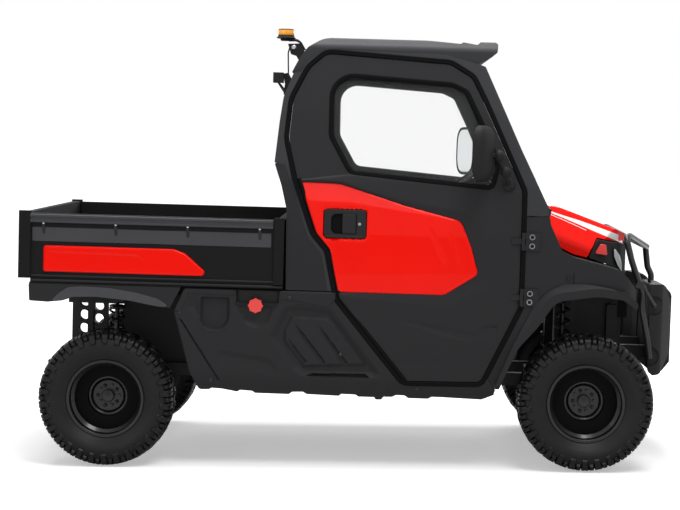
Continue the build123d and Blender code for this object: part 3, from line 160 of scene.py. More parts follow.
def inside(x, z, line):
    """Distance to a closed outline, positive inside it: the nearest of its straight runs, with the side found
    by counting how often a level ray crosses them."""
    a = np.asarray(line, float)[:, :2]
    b = np.roll(a, -1, 0)
    px, pz = np.asarray(x)[..., None], np.asarray(z)[..., None]
    ex, ez = b[:, 0] - a[:, 0], b[:, 1] - a[:, 1]
    t = np.clip(((px - a[:, 0]) * ex + (pz - a[:, 1]) * ez) / np.maximum(ex ** 2 + ez ** 2, 1e-9), 0, 1)
    gap = np.sqrt((px - a[:, 0] - t * ex) ** 2 + (pz - a[:, 1] - t * ez) ** 2).min(-1)
    crossed = (a[:, 1] <= pz) != (b[:, 1] <= pz)
    at = a[:, 0] + (pz - a[:, 1]) * ex / np.where(ez == 0, 1e-9, ez)
    return np.where((crossed & (px < at)).sum(-1) % 2 == 1, gap, -gap)


def within(x, z, corners, steps=8):
    """Distance inside the rounded outline of corner points."""
    return inside(x, z, rounded(corners, steps=steps))


def rise(d, low, high):
    """0 below one distance, 1 above the other, straight between."""
    return np.clip((d - low) / (high - low), 0, 1)


# ------------------------------------------------------------------ mesh surfaces
def grid(points, wrap_u=False, wrap_v=False):
    """Vertices and quads of a (rows, columns, 3) grid; a wrapped side joins its last line to its first."""
    m, n = points.shape[:2]
    idx = np.arange(m * n).reshape(m, n)
    if wrap_u:
        idx = np.vstack([idx, idx[:1]])
    if wrap_v:
        idx = np.hstack([idx, idx[:, :1]])
    quads = np.stack([idx[:-1, :-1], idx[1:, :-1], idx[1:, 1:], idx[:-1, 1:]], -1).reshape(-1, 4)
    return points.reshape(-1, 3), quads


def joined(parts):
    """Several (vertices, quads) pairs as one."""
    verts, quads, base = [], [], 0
    for v, q in parts:
        verts.append(v)
        quads.append(q + base)
        base += len(v)
    return np.concatenate(verts), np.concatenate(quads)


def flipped(part):
    """Mirror image of a part across the vehicle's middle plane."""
    v, q = part
    return v * np.array([1, -1, 1]), q[:, ::-1]


def both(parts):
    """Right-hand parts with their left-hand mirror images."""
    return list(parts) + [flipped(p) for p in parts]


def unit(v):
    """Vectors of length one."""
    v = np.asarray(v, float)
    return v / np.maximum(np.linalg.norm(v, axis=-1, keepdims=True), 1e-12)


def tangents(path, closed=True):
    """Unit tangents of a path."""
    if closed:
        return unit(np.roll(path, -1, 0) - np.roll(path, 1, 0))
    return unit(np.gradient(path, axis=0))


def normals(loop, middle):
    """Unit vectors square to a closed flat line, pointing away from a middle."""
    t = tangents(loop)
    n = np.stack([t[:, 1], -t[:, 0]], -1)
    return n * np.sign((n * (loop - middle)).sum(1))[:, None]


def tube(path, radius, sides=12, closed=False, up=UP):
    """Round tube: at each path point a circle of the radius in the plane of two normals, the first being the
    up vector less its part along the tangent. Ends close on rings shrunk to the axis."""
    path = np.asarray(path, float)
    tangent = tangents(path, closed)
    n1 = np.broadcast_to(np.asarray(up, float), path.shape)
    n1 = unit(n1 - (n1 * tangent).sum(1, keepdims=True) * tangent)
    n2 = np.cross(tangent, n1)
    r = np.broadcast_to(np.asarray(radius, float), (len(path),))
    if not closed:
        path, n1, n2 = (np.vstack([a[:1], a, a[-1:]]) for a in (path, n1, n2))
        r = np.r_[1e-5, r, 1e-5]
    a = np.linspace(0, 2 * math.pi, sides, endpoint=False)[:, None]
    ring = path[:, None] + r[:, None, None] * (np.cos(a) * n1[:, None] + np.sin(a) * n2[:, None])
    return grid(ring, wrap_u=closed, wrap_v=True)


def lathe(profile, centre, axis, sides=24, up=UP):
    """Profile of (distance along the axis, radius) turned about an axis through a centre."""
    profile = np.asarray(profile, float)
    axis = unit(np.asarray(axis, float))
    n1 = unit(np.asarray(up, float) - np.dot(up, axis) * axis)
    n2 = np.cross(axis, n1)
    a = np.linspace(0, 2 * math.pi, sides, endpoint=False)[:, None]
    ring = np.cos(a) * n1 + np.sin(a) * n2
    pts = np.asarray(centre, float) + profile[:, 0, None, None] * axis + profile[:, 1, None, None] * ring[None]
    return grid(pts, wrap_v=True)


def knob(profile, centre, axis, sides=24, up=UP):
    """Lathe whose profile is closed on the axis at both ends."""
    ends = [(profile[k][0], ON_AXIS) for k in (0, -1)]
    return lathe([ends[0], *profile, ends[1]], centre, axis, sides, up)


def capped(rings):
    """A grid of rings with both ends closed on their middles."""
    ends = [np.broadcast_to(ring.mean(0), ring.shape)[None] for ring in (rings[0], rings[-1])]
    return np.concatenate([ends[0], rings, ends[1]])


def ribbon(path, across, section, closed=False):
    """Section of (sideways, outward) offsets carried along a path: sideways lies across the tangent, in the
    plane square to the outward vectors given."""
    path = np.asarray(path, float)
    out = unit(np.broadcast_to(np.asarray(across, float), path.shape))
    side = unit(np.cross(out, tangents(path, closed)))
    section = np.asarray(section, float)
    pts = path[:, None] + section[:, 0, None] * side[:, None] + section[:, 1, None] * out[:, None]
    return grid(pts if closed else capped(pts), wrap_u=closed, wrap_v=True)


def bar(section, low, high):
    """Section of (y, z) carried straight from one x to another, with both ends closed on its middle."""
    rings = [np.column_stack([np.full(len(section), x), section]) for x in (low, high)]
    return grid(capped(np.stack(rings)), wrap_v=True)


def at_y(line, y):
    """Points (x, z) in a plane of constant y."""
    line = np.asarray(line, float)
    return np.stack([line[:, 0], np.full(len(line), float(y)), line[:, 1]], -1)


def plate(line, low, high, bevel=0.0):
    """Flat plate of a closed (x, z) outline between two levels of y: rings of the outline shrink to its middle
    on both faces, and the rim is drawn in by the bevel."""
    line = np.asarray(line, float)
    middle = (line.max(0) + line.min(0)) / 2
    inset = line - unit(line - middle) * bevel
    step = np.sign(high - low) * bevel
    tip, half = (middle + (inset - middle) * s for s in (TO_MIDDLE, 0.5))
    loops = [(tip, low), (half, low), (inset, low), (line, low + step), (line, high - step), (inset, high),
             (half, high), (tip, high)]
    return grid(np.stack([at_y(loop, y) for loop, y in loops]), wrap_v=True)


BACK_ROWS = 4  # rows over the inside of a cover


def cover(line, step, rows, lift, back, base=None):
    """Closed shell over an outline seen from the right side, in body millimetres: columns run from the outline's
    lower to its upper line; outside, the half-width is the base surface plus lift(x, z, v), and inside it is the
    base less a depth. Both ends close on a point."""
    base = base or (lambda x, z: skin(z))
    a, b = sorted((line[:, 0].argmin(), line[:, 0].argmax()))
    xs = np.linspace(line[:, 0].min() + 0.3, line[:, 0].max() - 0.3, int(np.ptp(line[:, 0]) / step))
    spans = []
    for chain in (line[a:b + 1], np.vstack([line[b:], line[:a + 1]])):
        chain = chain if chain[0, 0] < chain[-1, 0] else chain[::-1]
        spans.append(np.interp(xs, np.maximum.accumulate(chain[:, 0]), chain[:, 1]))
    low, high = np.minimum(*spans)[:, None], np.maximum(*spans)[:, None]
    sheets = []
    for v in (np.linspace(0, 1, rows)[None], np.linspace(1, 0, BACK_ROWS)[None]):
        z = low + (high - low) * v
        x = np.broadcast_to(xs[:, None], z.shape)
        out = lift(x, z, v) if not sheets else -back
        sheets.append(np.stack([x, -(base(x, z) + out), z], -1))
    return grid(capped(np.concatenate(sheets, 1)), wrap_v=True)


def dished(rim, hollow, levels):
    """Plate seen from the right side with a hollow in it: rings run from the middle of its back, out to the rim,
    over the face to the hollow's outline and down to the floor. Levels are those of back, face and floor."""
    back, face, floor = levels
    centre = hollow.mean(0)
    loops = [(centre + (rim - centre) * TO_MIDDLE, back), (rim, back), (rim, face), (hollow, face), (hollow, floor),
             (centre + (hollow - centre) * TO_MIDDLE, floor)]
    return grid(np.stack([at_y(loop, y) for loop, y in loops]), wrap_v=True)


def piece(name, parts, body, finish, smooth=30.0, slot=None, outward=True, replaces=(), place=row):
    """One object from parts in millimetres, which place takes to the row frame: doubles merged, faces turned
    outwards, riding on a body."""
    verts, quads = joined(parts)
    mesh = bpy.data.meshes.new(name)
    mesh.from_pydata(place(verts), [], quads.tolist())
    bm = bmesh.new()
    bm.from_mesh(mesh)
    bmesh.ops.remove_doubles(bm, verts=bm.verts, dist=2e-5)
    bmesh.ops.dissolve_degenerate(bm, edges=bm.edges, dist=1e-6)
    if outward:
        bmesh.ops.recalc_face_normals(bm, faces=bm.faces)
    bm.to_mesh(mesh)
    bm.free()
    obj = bpy.data.objects.new(name, mesh)
    bpy.context.scene.collection.objects.link(obj)
    mesh.materials.append(finishes()[finish])
    mesh.shade_smooth()
    mesh.set_sharp_from_angle(angle=math.radians(smooth))
    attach(obj, body)
    if replaces:
        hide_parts(*replaces)
    return obj


SIDES = ("right", "left")


def sided(side, name, parts, body, finish, replaces=(), **how):
    """A piece on one side from right-hand parts; {} in a name stands for the side."""
    parts = parts if side == "right" else [flipped(p) for p in parts]
    nodes = [node_name.format(side) for node_name in replaces]
    piece(name.format(side), parts, body.format(side), finish, replaces=nodes, **how)


LAID_LIFT = 0.0008


def laid(obj, target, axis):
    """Lays a flat piece on a CAD node: Shrinkwrap projects it along one axis and lifts it a little, and is then
    applied."""
    mod = obj.modifiers.new("lay", "SHRINKWRAP")
    mod.target, mod.wrap_method, mod.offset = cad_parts[target], "PROJECT", LAID_LIFT
    for k in "xyz":
        setattr(mod, "use_project_" + k, k == axis)
    mod.use_positive_direction = mod.use_negative_direction = True
    deps = bpy.context.evaluated_depsgraph_get()
    done = bpy.data.meshes.new_from_object(obj.evaluated_get(deps), depsgraph=deps)
    flat = obj.data
    obj.modifiers.clear()
    obj.data = done
    bpy.data.meshes.remove(flat)


# ------------------------------------------------------------------ finishes
MADE = {}


def feed(tree, made, *ordered, **named):
    """Inputs of a shader node, in order or by name with _ for a blank: a socket is linked and a value is set."""
    for key, value in [*enumerate(ordered), *((k.replace("_", " "), v) for k, v in named.items())]:
        if isinstance(value, bpy.types.NodeSocket):
            tree.links.new(value, made.inputs[key])
        else:
            made.inputs[key].default_value = value


def node(tree, kind, *ordered, out=0, operation=None, **named):
    """One output of a new shader node with its inputs fed."""
    made = tree.nodes.new("ShaderNode" + kind)
    if operation:
        made.operation = operation
    feed(tree, made, *ordered, **named)
    return made.outputs[out]


def new_material(name):
    """A new material with its node tree and its Principled shader."""
    mat = MADE[name] = bpy.data.materials.new(name)
    mat.use_nodes = True
    return mat, mat.node_tree, mat.node_tree.nodes["Principled BSDF"]


def finish(name, colour, rough, grain=0.0, grain_size=400.0, vary=0.06, coat=0.0, metal=0.0, spec=0.5, blotch=6.0,
           sheen=0.0, rough_vary=0.08, emit=0.0):
    """Procedural surface: a slow noise varies the colour and roughness, and a fine noise gives the grain."""
    if name in MADE:
        return MADE[name]
    mat, tree, bsdf = new_material(name)
    feed(tree, bsdf, Metallic=metal, Specular_IOR_Level=spec, Coat_Weight=coat, Coat_Roughness=0.08,
         Sheen_Weight=sheen)
    where = node(tree, "TexCoord", out="Object")
    slow = node(tree, "TexNoise", out="Fac", Vector=where, Scale=blotch, Detail=5.0)
    ramp = tree.nodes.new("ShaderNodeValToRGB")
    for stop, at, factor in zip(ramp.color_ramp.elements, (0.3, 0.7), (1 - vary, 1 + vary)):
        stop.position, stop.color = at, (*(min(1.0, c * factor) for c in colour), 1)
    feed(tree, ramp, Fac=slow)
    span = node(tree, "MapRange", out="Result", Value=slow, To_Min=max(0.02, rough - rough_vary),
                To_Max=min(1.0, rough + rough_vary))
    feed(tree, bsdf, Base_Color=ramp.outputs["Color"], Roughness=span)
    if grain:
        fine = node(tree, "TexNoise", out="Fac", Vector=where, Scale=grain_size, Detail=3.0)
        feed(tree, bsdf, Normal=node(tree, "Bump", out="Normal", Height=fine, Strength=grain, Distance=0.0006))
    if emit:
        feed(tree, bsdf, Emission_Color=(*colour, 1), Emission_Strength=emit)
    return mat


def finishes():
    """The vehicle's finishes by name."""
    look = bpy.context.scene.utv_look
    red = tuple(look.panel_colour)

    def plastic(factor):
        return tuple(c * factor for c in look.body_colour)

    return {
        "moulding": finish("moulded_body_plastic", plastic(1), 0.62, 0.35, 900, 0.05, spec=0.2),
        # lighter copy of the body plastic: painted highlight for the roof and cab sides, which catch the light
        "moulding_painted_highlight": finish("moulded_plastic_painted_highlight", plastic(2.1), 0.6, 0.3, 900, 0.05, spec=0.2),
        "moulding_deep": finish("moulded_dark_plastic", plastic(0.45), 0.65, 0.3, 900, 0.05, spec=0.25),
        "red": finish("gloss_panel_red", red, 0.34, vary=0.02, coat=0.22, spec=0.04, rough_vary=0.03),
        "red_lens": finish("marker_lens", (0.85, 0.07, 0.06), 0.2, vary=0.03, coat=0.4, spec=0.3),
        # white strips for the bonnet: painted highlights on its crease and rear top
        "painted_highlight_white": finish("bonnet_painted_highlight_white", (0.86, 0.86, 0.85), 0.35, vary=0.02, coat=0.3),
        "tyre": finish("tyre_rubber", (0.0065, 0.0065, 0.007), 0.42, 0.4, 500, 0.2, spec=0.2, blotch=14),
        "rim": finish("rim_satin_black", (0.005, 0.005, 0.0055), 0.24, 0.08, 700, 0.1, spec=0.3, coat=0.2),
        "frame": finish("frame_powder_coat", (0.006, 0.006, 0.0065), 0.45, 0.4, 1100, 0.12, spec=0.3),
        "guard": finish("guard_powder_coat", (0.011, 0.012, 0.012), 0.3, 0.2, 1100, 0.1, spec=0.4, coat=0.25),
        "bed": finish("bed_textured_coat", plastic(0.45), 0.65, 0.9, 1500, 0.1, spec=0.12),
        # lighter grey copy of the body plastic: painted highlight on the bed's sloped band, its rails and rear flares
        "grey_painted_highlight": finish("bed_grey_painted_highlight", plastic(3.3), 0.6, 0.5, 1500, 0.06, spec=0.25),
        "cast": finish("cast_housing", (0.035, 0.035, 0.037), 0.55, 0.8, 500, 0.15, metal=0.7),
        "steel": finish("plated_steel", (0.46, 0.46, 0.47), 0.3, 0.15, 700, 0.06, metal=1.0),
        "chrome": finish("bright_washer", (0.36, 0.36, 0.37), 0.2, 0.05, 700, 0.03, metal=1.0),
        "dark_steel": finish("blackened_steel", (0.03, 0.03, 0.032), 0.32, 0.3, 900, 0.1, metal=0.8),
        "rubber": finish("seal_rubber", (0.005, 0.005, 0.0055), 0.7, 0.2, 900, 0.08, spec=0.05),
        "vinyl": seat_vinyl(),
        "dash": finish("dash_moulding", (0.014, 0.014, 0.015), 0.6, 0.6, 700, 0.08, spec=0.3),
        "amber": finish("amber_lens", (0.95, 0.36, 0.01), 0.15, vary=0.05, coat=0.5, emit=0.25),
        "lens": finish("clear_lens", (0.42, 0.44, 0.45), 0.08, vary=0.02, coat=0.4, spec=0.6),
        "mirror": finish("mirror_face", (0.8, 0.82, 0.83), 0.04, vary=0.01, metal=1.0, rough_vary=0.01),
        "glass": pane(),
    }


def seat_vinyl():
    """Seat vinyl: cells of a Voronoi texture as leather grain under a soft sheen."""
    if "seat_vinyl" in MADE:
        return MADE["seat_vinyl"]
    mat = finish("seat_vinyl", (0.03, 0.03, 0.032), 0.55, vary=0.1, sheen=0.1)
    tree = mat.node_tree
    cells = node(tree, "TexVoronoi", out="Distance", Vector=node(tree, "TexCoord", out="Object"), Scale=420)
    grain = node(tree, "Bump", out="Normal", Height=cells, Strength=0.45, Distance=0.0007)
    feed(tree, tree.nodes["Principled BSDF"], Normal=grain)
    return mat


def pane():
    """Thin clear pane: see-through for the most part, with a glossy film."""
    if "thin_pane" in MADE:
        return MADE["thin_pane"]
    mat, tree, bsdf = new_material("thin_pane")
    alpha = bpy.context.scene.utv_look.pane_alpha
    feed(tree, bsdf, Base_Color=(0.55, 0.58, 0.58, 1), Roughness=0.03, Alpha=alpha)
    mat.blend_method = "BLEND"
    return mat


# ------------------------------------------------------------------ settings
class UTV_PG_look(bpy.types.PropertyGroup):
    """Colours of the vehicle."""

    body_colour: FloatVectorProperty(name="Body plastic", description="Colour of the moulded body plastic",
                                     subtype="COLOR", size=3, min=0, max=1, default=(0.0145, 0.0148, 0.0162))
    panel_colour: FloatVectorProperty(name="Panels", description="Colour of the glossy panels", subtype="COLOR",
                                      size=3, min=0, max=1, default=(0.92, 0.007, 0.002))
    pane_alpha: FloatProperty(name="Pane opacity", description="How much a window pane hides", min=0, max=1,
                              default=0.03)


class UTV_PG_tyres(bpy.types.PropertyGroup):
    """Sizes of the tyre's tread."""

    lug_height: FloatProperty(name="Lug height", description="Height of the tread lugs", subtype="DISTANCE",
                              unit="LENGTH", default=0.013)
    lug_count: IntProperty(name="Lugs round", description="Lugs in each row of the tread", min=8, max=60, default=30)
    sipe_depth: FloatProperty(name="Sipe depth", description="Depth of the cuts in each lug", subtype="DISTANCE",
                              unit="LENGTH", default=0.003)


class UTV_PG_trim(bpy.types.PropertyGroup):
    """Sizes of seals, springs and fasteners."""

    seal_radius: FloatProperty(name="Door seal", description="Radius of the doorway's rubber seal",
                               subtype="DISTANCE", unit="LENGTH", default=0.0048)
    coil_wire: FloatProperty(name="Spring wire", description="Radius of the spring wire", subtype="DISTANCE",
                             unit="LENGTH", default=0.006)
    bolt_radius: FloatProperty(name="Bolt head", description="Radius of a body bolt's head", subtype="DISTANCE",
                               unit="LENGTH", default=0.008)


class UTV_PG_stage(bpy.types.PropertyGroup):
    """Light and floor."""

    key: FloatProperty(name="Key light", description="Power of the main lamp", subtype="POWER", default=290)
    sky: FloatProperty(name="Sky", description="Strength of the even light", min=0, default=0.22)


# ------------------------------------------------------------------ wheels
def smooth_box(distance, half, edge):
    """1 inside a half-width and 0 outside, with a sloping edge."""
    return np.clip((half - np.abs(distance)) / edge + 0.5, 0, 1)


TREAD_STEPS, WALL_POINTS, LINING_POINTS = 520, 78, 8  # columns round a tyre, and points over it
BEAD_R = 178.0
TYRE_CLEAR = 0.05  # kept inside the plain tyre's radius
CROWN_PART = 255  # radius from which the points over the tyre lie twice as close
SHOULDER_Y, SHOULDER_SLANT = 84, 0.12  # middle of a row of lugs across the tread, and its lean
CENTRE_Y, CENTRE_SLANT = 24, 0.55
RIM_RIBS = ((1.2, 208, 4, 2), (1.0, 220, 2, 2), (1.2, 250, 3, 2))  # height, radius, half-width and edge


def tyre_surface(lug_h, lugs, sipe):
    """Tyre about Y in millimetres: a closed profile turned round. The tread is raised by long shoulder lugs that
    run down the side wall, short ones between them and slanted centre lugs, each given by its angle and width,
    with thin sipes cut in them."""
    half, crown, bead = TYRE_W / 2, TYRE_R - lug_h, BEAD_R
    side = [(bead, 84, 0), (bead + 22, 98, 10), (bead + 62, half - 4, 40), (crown - 44, half - 8, 30),
            (crown - 8, half - 24, 22), (crown, 40, 60)]
    outer = side + [(r, -y, c) for r, y, c in reversed(side)]
    inner = [(bead, -64, 0), (bead + 60, -half + 22, 30), (crown - 24, -half + 36, 30)]
    inner += [(r, -y, c) for r, y, c in reversed(inner)]
    wall = resample(rounded(outer, closed=False, steps=14), WALL_POINTS, closed=False,
                    dense=lambda p: 1 + (p[:, 0] > CROWN_PART))
    lining = resample(rounded(inner, closed=False, steps=6), LINING_POINTS, closed=False)
    loop = np.vstack([wall, lining])
    normal = normals(loop, (bead + 60, 0))
    theta = np.linspace(0, 2 * math.pi, TREAD_STEPS, endpoint=False)[:, None]
    r, y = loop[None, :, 0], loop[None, :, 1]
    pitch = 2 * math.pi / lugs

    def along(shift):
        return (((theta / pitch + shift) % 1.0) - 0.5) * pitch * TYRE_R

    tread = np.zeros((TREAD_STEPS, len(loop)))
    for sign, stagger in ((1, 0.5), (-1, 0.0)):
        yy = y * sign
        outward = rise(yy, 48, 52)
        d = along(stagger) + SHOULDER_SLANT * (yy - SHOULDER_Y)
        foot = smooth_box(d, 15 + 3 * rise(r, 280, 300), 3) * rise(r, 262, 267) * (0.72 + 0.28 * rise(r, 284, 292))
        cut = smooth_box(d, 1.7, 1.5) * rise(r, 288, 296) + smooth_box(yy - 92, 1.5, 1.4) * (d > 0) * rise(r, 296, 300)
        tread = np.maximum(tread, outward * foot * (lug_h - sipe * np.clip(cut, 0, 1)))
        d = along(stagger + 0.5) + SHOULDER_SLANT * (yy - SHOULDER_Y)
        foot = smooth_box(d, 11, 3) * rise(r, 286, 290)
        tread = np.maximum(tread, outward * rise(yy, 62, 66) * foot * lug_h)
        d = along(stagger + 0.5) + (yy - CENTRE_Y) * CENTRE_SLANT
        block = smooth_box(d, 13, 4) * smooth_box(yy - CENTRE_Y, 22, 4)
        cut = smooth_box(d, 1.6, 1.5) * smooth_box(yy - 23, 15, 2)
        tread = np.maximum(tread, block * (lug_h - sipe * cut))
    tread[:, len(wall):] = 0
    ribs = sum(height * smooth_box(r - at, wide, edge) for height, at, wide, edge in RIM_RIBS)
    proud = tread + ribs * (np.arange(len(loop)) < len(wall))
    rr = np.minimum(r + normal[None, :, 0] * proud, TYRE_R - TYRE_CLEAR)
    yy = np.clip(y + normal[None, :, 1] * proud, -half, half)
    pts = np.stack([rr * np.cos(theta), yy, rr * np.sin(theta)], -1)
    return grid(pts, wrap_u=True, wrap_v=True)


def wheels():
    """Each wheel's name, its side and what takes millimetres about its middle to the row frame."""
    for end, (x, z) in (("front", FRONT_AXLE), ("rear", REAR_AXLE)):
        for side, sign in (("right", -1), ("left", 1)):
            centre = row((x, sign * WHEEL_Y, z))
            yield end + "_" + side, sign, lambda v, centre=centre: v / 1000 + centre


class UTV_OT_tyres(bpy.types.Operator):
    """Lugged tyres in place of the plain ones"""

    bl_idname = "utv.tyres"
    bl_label = "Tyres"

    def execute(self, context):
        size = context.scene.utv_tyres
        tyre = tyre_surface(size.lug_height * 1000, size.lug_count, size.sipe_depth * 1000)
        for name, _, place in wheels():
            piece("tyre_tread_" + name, [tyre], "wheel_" + name, "tyre", smooth=38, slot="tyre",
                  replaces=["tyre_" + name], place=place)
        return {"FINISHED"}


NUTS, NUT_CIRCLE, NUT_SEAT = 5, 50, -32
VALVE_CIRCLE, VALVE_SEAT, VALVE_ANGLE = 148, -36.0, 0.6


class UTV_OT_wheel_nuts(bpy.types.Operator):
    """Wheel nuts, valve stems and dust shields"""

    bl_idname = "utv.wheel_nuts"
    bl_label = "Wheel nuts"

    def execute(self, context):
        for name, sign, place in wheels():
            parts = []
            for k in range(NUTS):
                a = 2 * math.pi * (k + 0.5) / NUTS
                at = (NUT_CIRCLE * math.cos(a), sign * NUT_SEAT, NUT_CIRCLE * math.sin(a))
                nut = [(0, 9), (9, 9), (11, 7), (16, 7), (18, 4)]
                parts.append(knob(nut, at, (0, sign, 0), 6, up=(1, 0, 0.2)))
            at = (VALVE_CIRCLE * math.cos(VALVE_ANGLE), sign * VALVE_SEAT, VALVE_CIRCLE * math.sin(VALVE_ANGLE))
            stem = [(0, ON_AXIS), (0, 6), (14, 5), (16, 3.6), (34, 3.6), (35, ON_AXIS)]
            parts.append(lathe(stem, at, (-0.35, sign, -0.25), 10))
            piece("wheel_nuts_" + name, parts, "wheel_" + name, "dark_steel", place=place)
            drum = lathe([(0, 96), (0, 160), (16, 162), (16, 96), (0, 96)], (0, sign * 8.0, 0), (0, -sign, 0), 48)
            piece("wheel_dust_shield_" + name, [drum], "wheel_" + name, "rubber", place=place)
        return {"FINISHED"}


# ------------------------------------------------------------------ springs
COIL_R = 40
COIL_PITCH = 42
FLAT_TURN = 0.8  # turns that lie flat on each cup


def spring_unit(foot, head, wire):
    """Damper with its coil in body millimetres: a helix round the damper's axis, evenly pitched, its ends
    flattened on two cups."""
    foot, head = np.array(foot, float), np.array(head, float)
    axis = unit(head - foot)
    length = np.linalg.norm(head - foot)
    low, high = 0.2 * length, 0.92 * length
    turns = round(length * 0.7 / COIL_PITCH)
    t = np.linspace(0, 1, turns * 22)
    ease = np.clip((t * turns - FLAT_TURN) / (turns - 2 * FLAT_TURN), 0, 1)
    n1 = unit(np.cross(axis, (0, 1, 0.01)))
    n2 = np.cross(axis, n1)
    a = (2 * math.pi * turns * t)[:, None]
    run = low + wire + (0.72 * length - 2 * wire) * ease
    coil = foot + axis * run[:, None] + (COIL_R - wire) * (np.cos(a) * n1 + np.sin(a) * n2)
    damper = [(0, 10), (0.05 * length, 14), (0.08 * length, 21), (0.52 * length, 22), (0.53 * length, 12),
              (length - 14, 10), (length, 10)]
    cups = ([(low - 7, 22), (low - 7, 38), (low - 1, 39), (low, 30), (low, 22)],
            [(high, 10), (high, 30), (high + 1, 39), (high + 8, 38), (high + 12, 26), (high + 12, 10)])
    parts = [tube(coil, wire, 8, up=axis), knob(damper, foot, axis, 20, up=n1)]
    return parts + [lathe(cup, foot, axis, 20, up=n1) for cup in cups]


class UTV_OT_springs(bpy.types.Operator):
    """Spring and damper units"""

    bl_idname = "utv.springs"
    bl_label = "Springs"

    def execute(self, context):
        xf, xr = FRONT_AXLE[0], REAR_AXLE[0]
        wire = context.scene.utv_trim.coil_wire * 1000
        parts = spring_unit((xf - 95, -380, 340), (xf - 90, -360, 843.5), wire)
        parts += spring_unit((xr + 4, -420, 442), (xr + 2, -372, 733), wire)
        piece("spring_units", both(parts), "vehicle", "dark_steel", slot="steel", replaces=["coilovers"])
        return {"FINISHED"}


# ------------------------------------------------------------------ seats
PAD_ROWS, PAD_COLUMNS = 61, 120


def crowned_pad(loop, y_low, y_high, lift, channels, length_channels):
    """Closed pad in body millimetres: a rounded loop in X-Z repeated across the width, drawn in towards its
    middle near both sides by a superellipse, swollen outwards in the middle, with grooves where it is sewn."""
    loop = outline(loop, PAD_COLUMNS)
    middle = loop.mean(0)
    across = np.linspace(-1, 1, PAD_ROWS)[:, None]
    draw = np.clip((1 - np.abs(across) ** 7) ** (1 / 3.0), 1e-4, 1)
    swell = lift * (1 - across ** 2)
    groove = sum(7.0 * np.exp(-(((across - at) / 0.022) ** 2)) for at in channels)
    arc = np.linspace(0, 1, PAD_COLUMNS, endpoint=False)[None, :]
    for at in length_channels:
        groove = groove + 6.0 * np.exp(-(((arc - at) / 0.008) ** 2)) * (np.abs(across) < 0.7)
    drawn = middle + (loop - middle) * (0.35 + 0.65 * draw[..., None])
    drawn = np.where(np.abs(across)[..., None] > 0.999, middle + (loop - middle) * TO_MIDDLE, drawn)
    moved = drawn + normals(loop, middle) * (swell - groove - lift)[..., None]
    y = (y_low + y_high) / 2 + (y_high - y_low) / 2 * across
    return grid(np.stack([moved[..., 0], np.broadcast_to(y, moved.shape[:2]), moved[..., 1]], -1), wrap_v=True)


class UTV_OT_seats(bpy.types.Operator):
    """Padded seat cushions and backs with sewn channels"""

    bl_idname = "utv.seats"
    bl_label = "Seats"

    def execute(self, context):
        base = [(-168, 702, 25), (-172, 798, 34), (120, 812, 200), (250, 818, 60), (347, 793, 40), (337, 702, 25)]
        back = [(-168, 804, 20), (-234, 1325, 42), (-162, 1342, 42), (-62, 850, 60), (-76, 808, 20)]
        for side, low, high in (("right", -598, -27), ("left", 27, 598)):
            pad = [crowned_pad(base, low, high, 9, (-0.66, 0.66), (0.42,))]
            cushion = piece("seat_cushion_" + side, pad, "vehicle", "vinyl", slot="seat", replaces=["seat_cushions"])
            pad = [crowned_pad(back, low, high, 9, (-0.62, 0.62), (0.62, 0.72))]
            rest = piece("seat_back_" + side, pad, "vehicle", "vinyl", slot="seat", replaces=["seat_backs"])
        return {"FINISHED"}


# ------------------------------------------------------------------ doors
def side_path(line, lift):
    """Outline points (x, z) on the right-hand skin, lifted outwards, in body millimetres."""
    line = np.asarray(line, float)
    return np.stack([line[:, 0], -(skin(line[:, 1]) + lift), line[:, 1]], -1)


def grown(line, amount):
    """Closed outline moved outwards along its normals."""
    t = tangents(line)
    area = (line[:, 0] * np.roll(line[:, 1], -1) - np.roll(line[:, 0], -1) * line[:, 1]).sum()
    return line + np.stack([t[:, 1], -t[:, 0]], -1) * amount * (1 if area > 0 else -1)


class UTV_OT_door_seals(bpy.types.Operator):
    """Rubber seals round the doorways and the door windows"""

    bl_idname = "utv.door_seals"
    bl_label = "Door seals"

    def execute(self, context):
        radius = context.scene.utv_trim.seal_radius * 1000
        line = grown(outline(DOOR, 420), 14.0)
        quarter = (line[:, 0] < 0) & (line[:, 1] > 846) & (line[:, 1] < 1440)
        path = side_path(line, np.where(quarter, 6.5, 4.5))
        section = [(-11, -9), (11, -9), (11, -1), (8, 1.2), (2, 1.6), (0, 0.4), (-3, 2.2), (-8, 2.2), (-11, -1)]
        seal = ribbon(path, OUT, section, closed=True)
        bead = tube(side_path(grown(line, -8.5), -9), radius, 10, closed=True, up=OUT)
        piece("doorway_seals", both([seal, bead]), "vehicle", "rubber", smooth=50)
        line = outline(WINDOW, 300)
        section = [(-9, -3), (9, -3), (10, 1), (6, 4.5), (-4, 5), (-9, 1.5)]
        gasket = ribbon(side_path(grown(line, 10), 0), OUT, section, closed=True)
        bead = tube(side_path(grown(line, -0.5), -2), 3.2, 8, closed=True, up=OUT)
        for side in SIDES:
            sided(side, "window_gasket_{}", [gasket, bead], "door_{}", "rubber", smooth=50)
        line = resample(rounded(DOOR[-5:] + DOOR[:1], closed=False), 90, closed=False)
        section = [(-8, -2), (8, -2), (8, 2), (6, 3.4), (-6, 3.4), (-8, 2)]
        trim = ribbon(side_path(line + np.array([9.0, 0.5]), 1.5), OUT, section)
        for side in SIDES:
            sided(side, "door_edge_trim_{}", [trim], "door_{}", "rubber", smooth=50)
        return {"FINISHED"}


MIRROR_STEPS = 56
MIRROR_HALF_W, MIRROR_HALF_H = 85, 131
MIRROR_AT = (612, -862, 1514)
MIRROR_TURN = -math.radians(30)


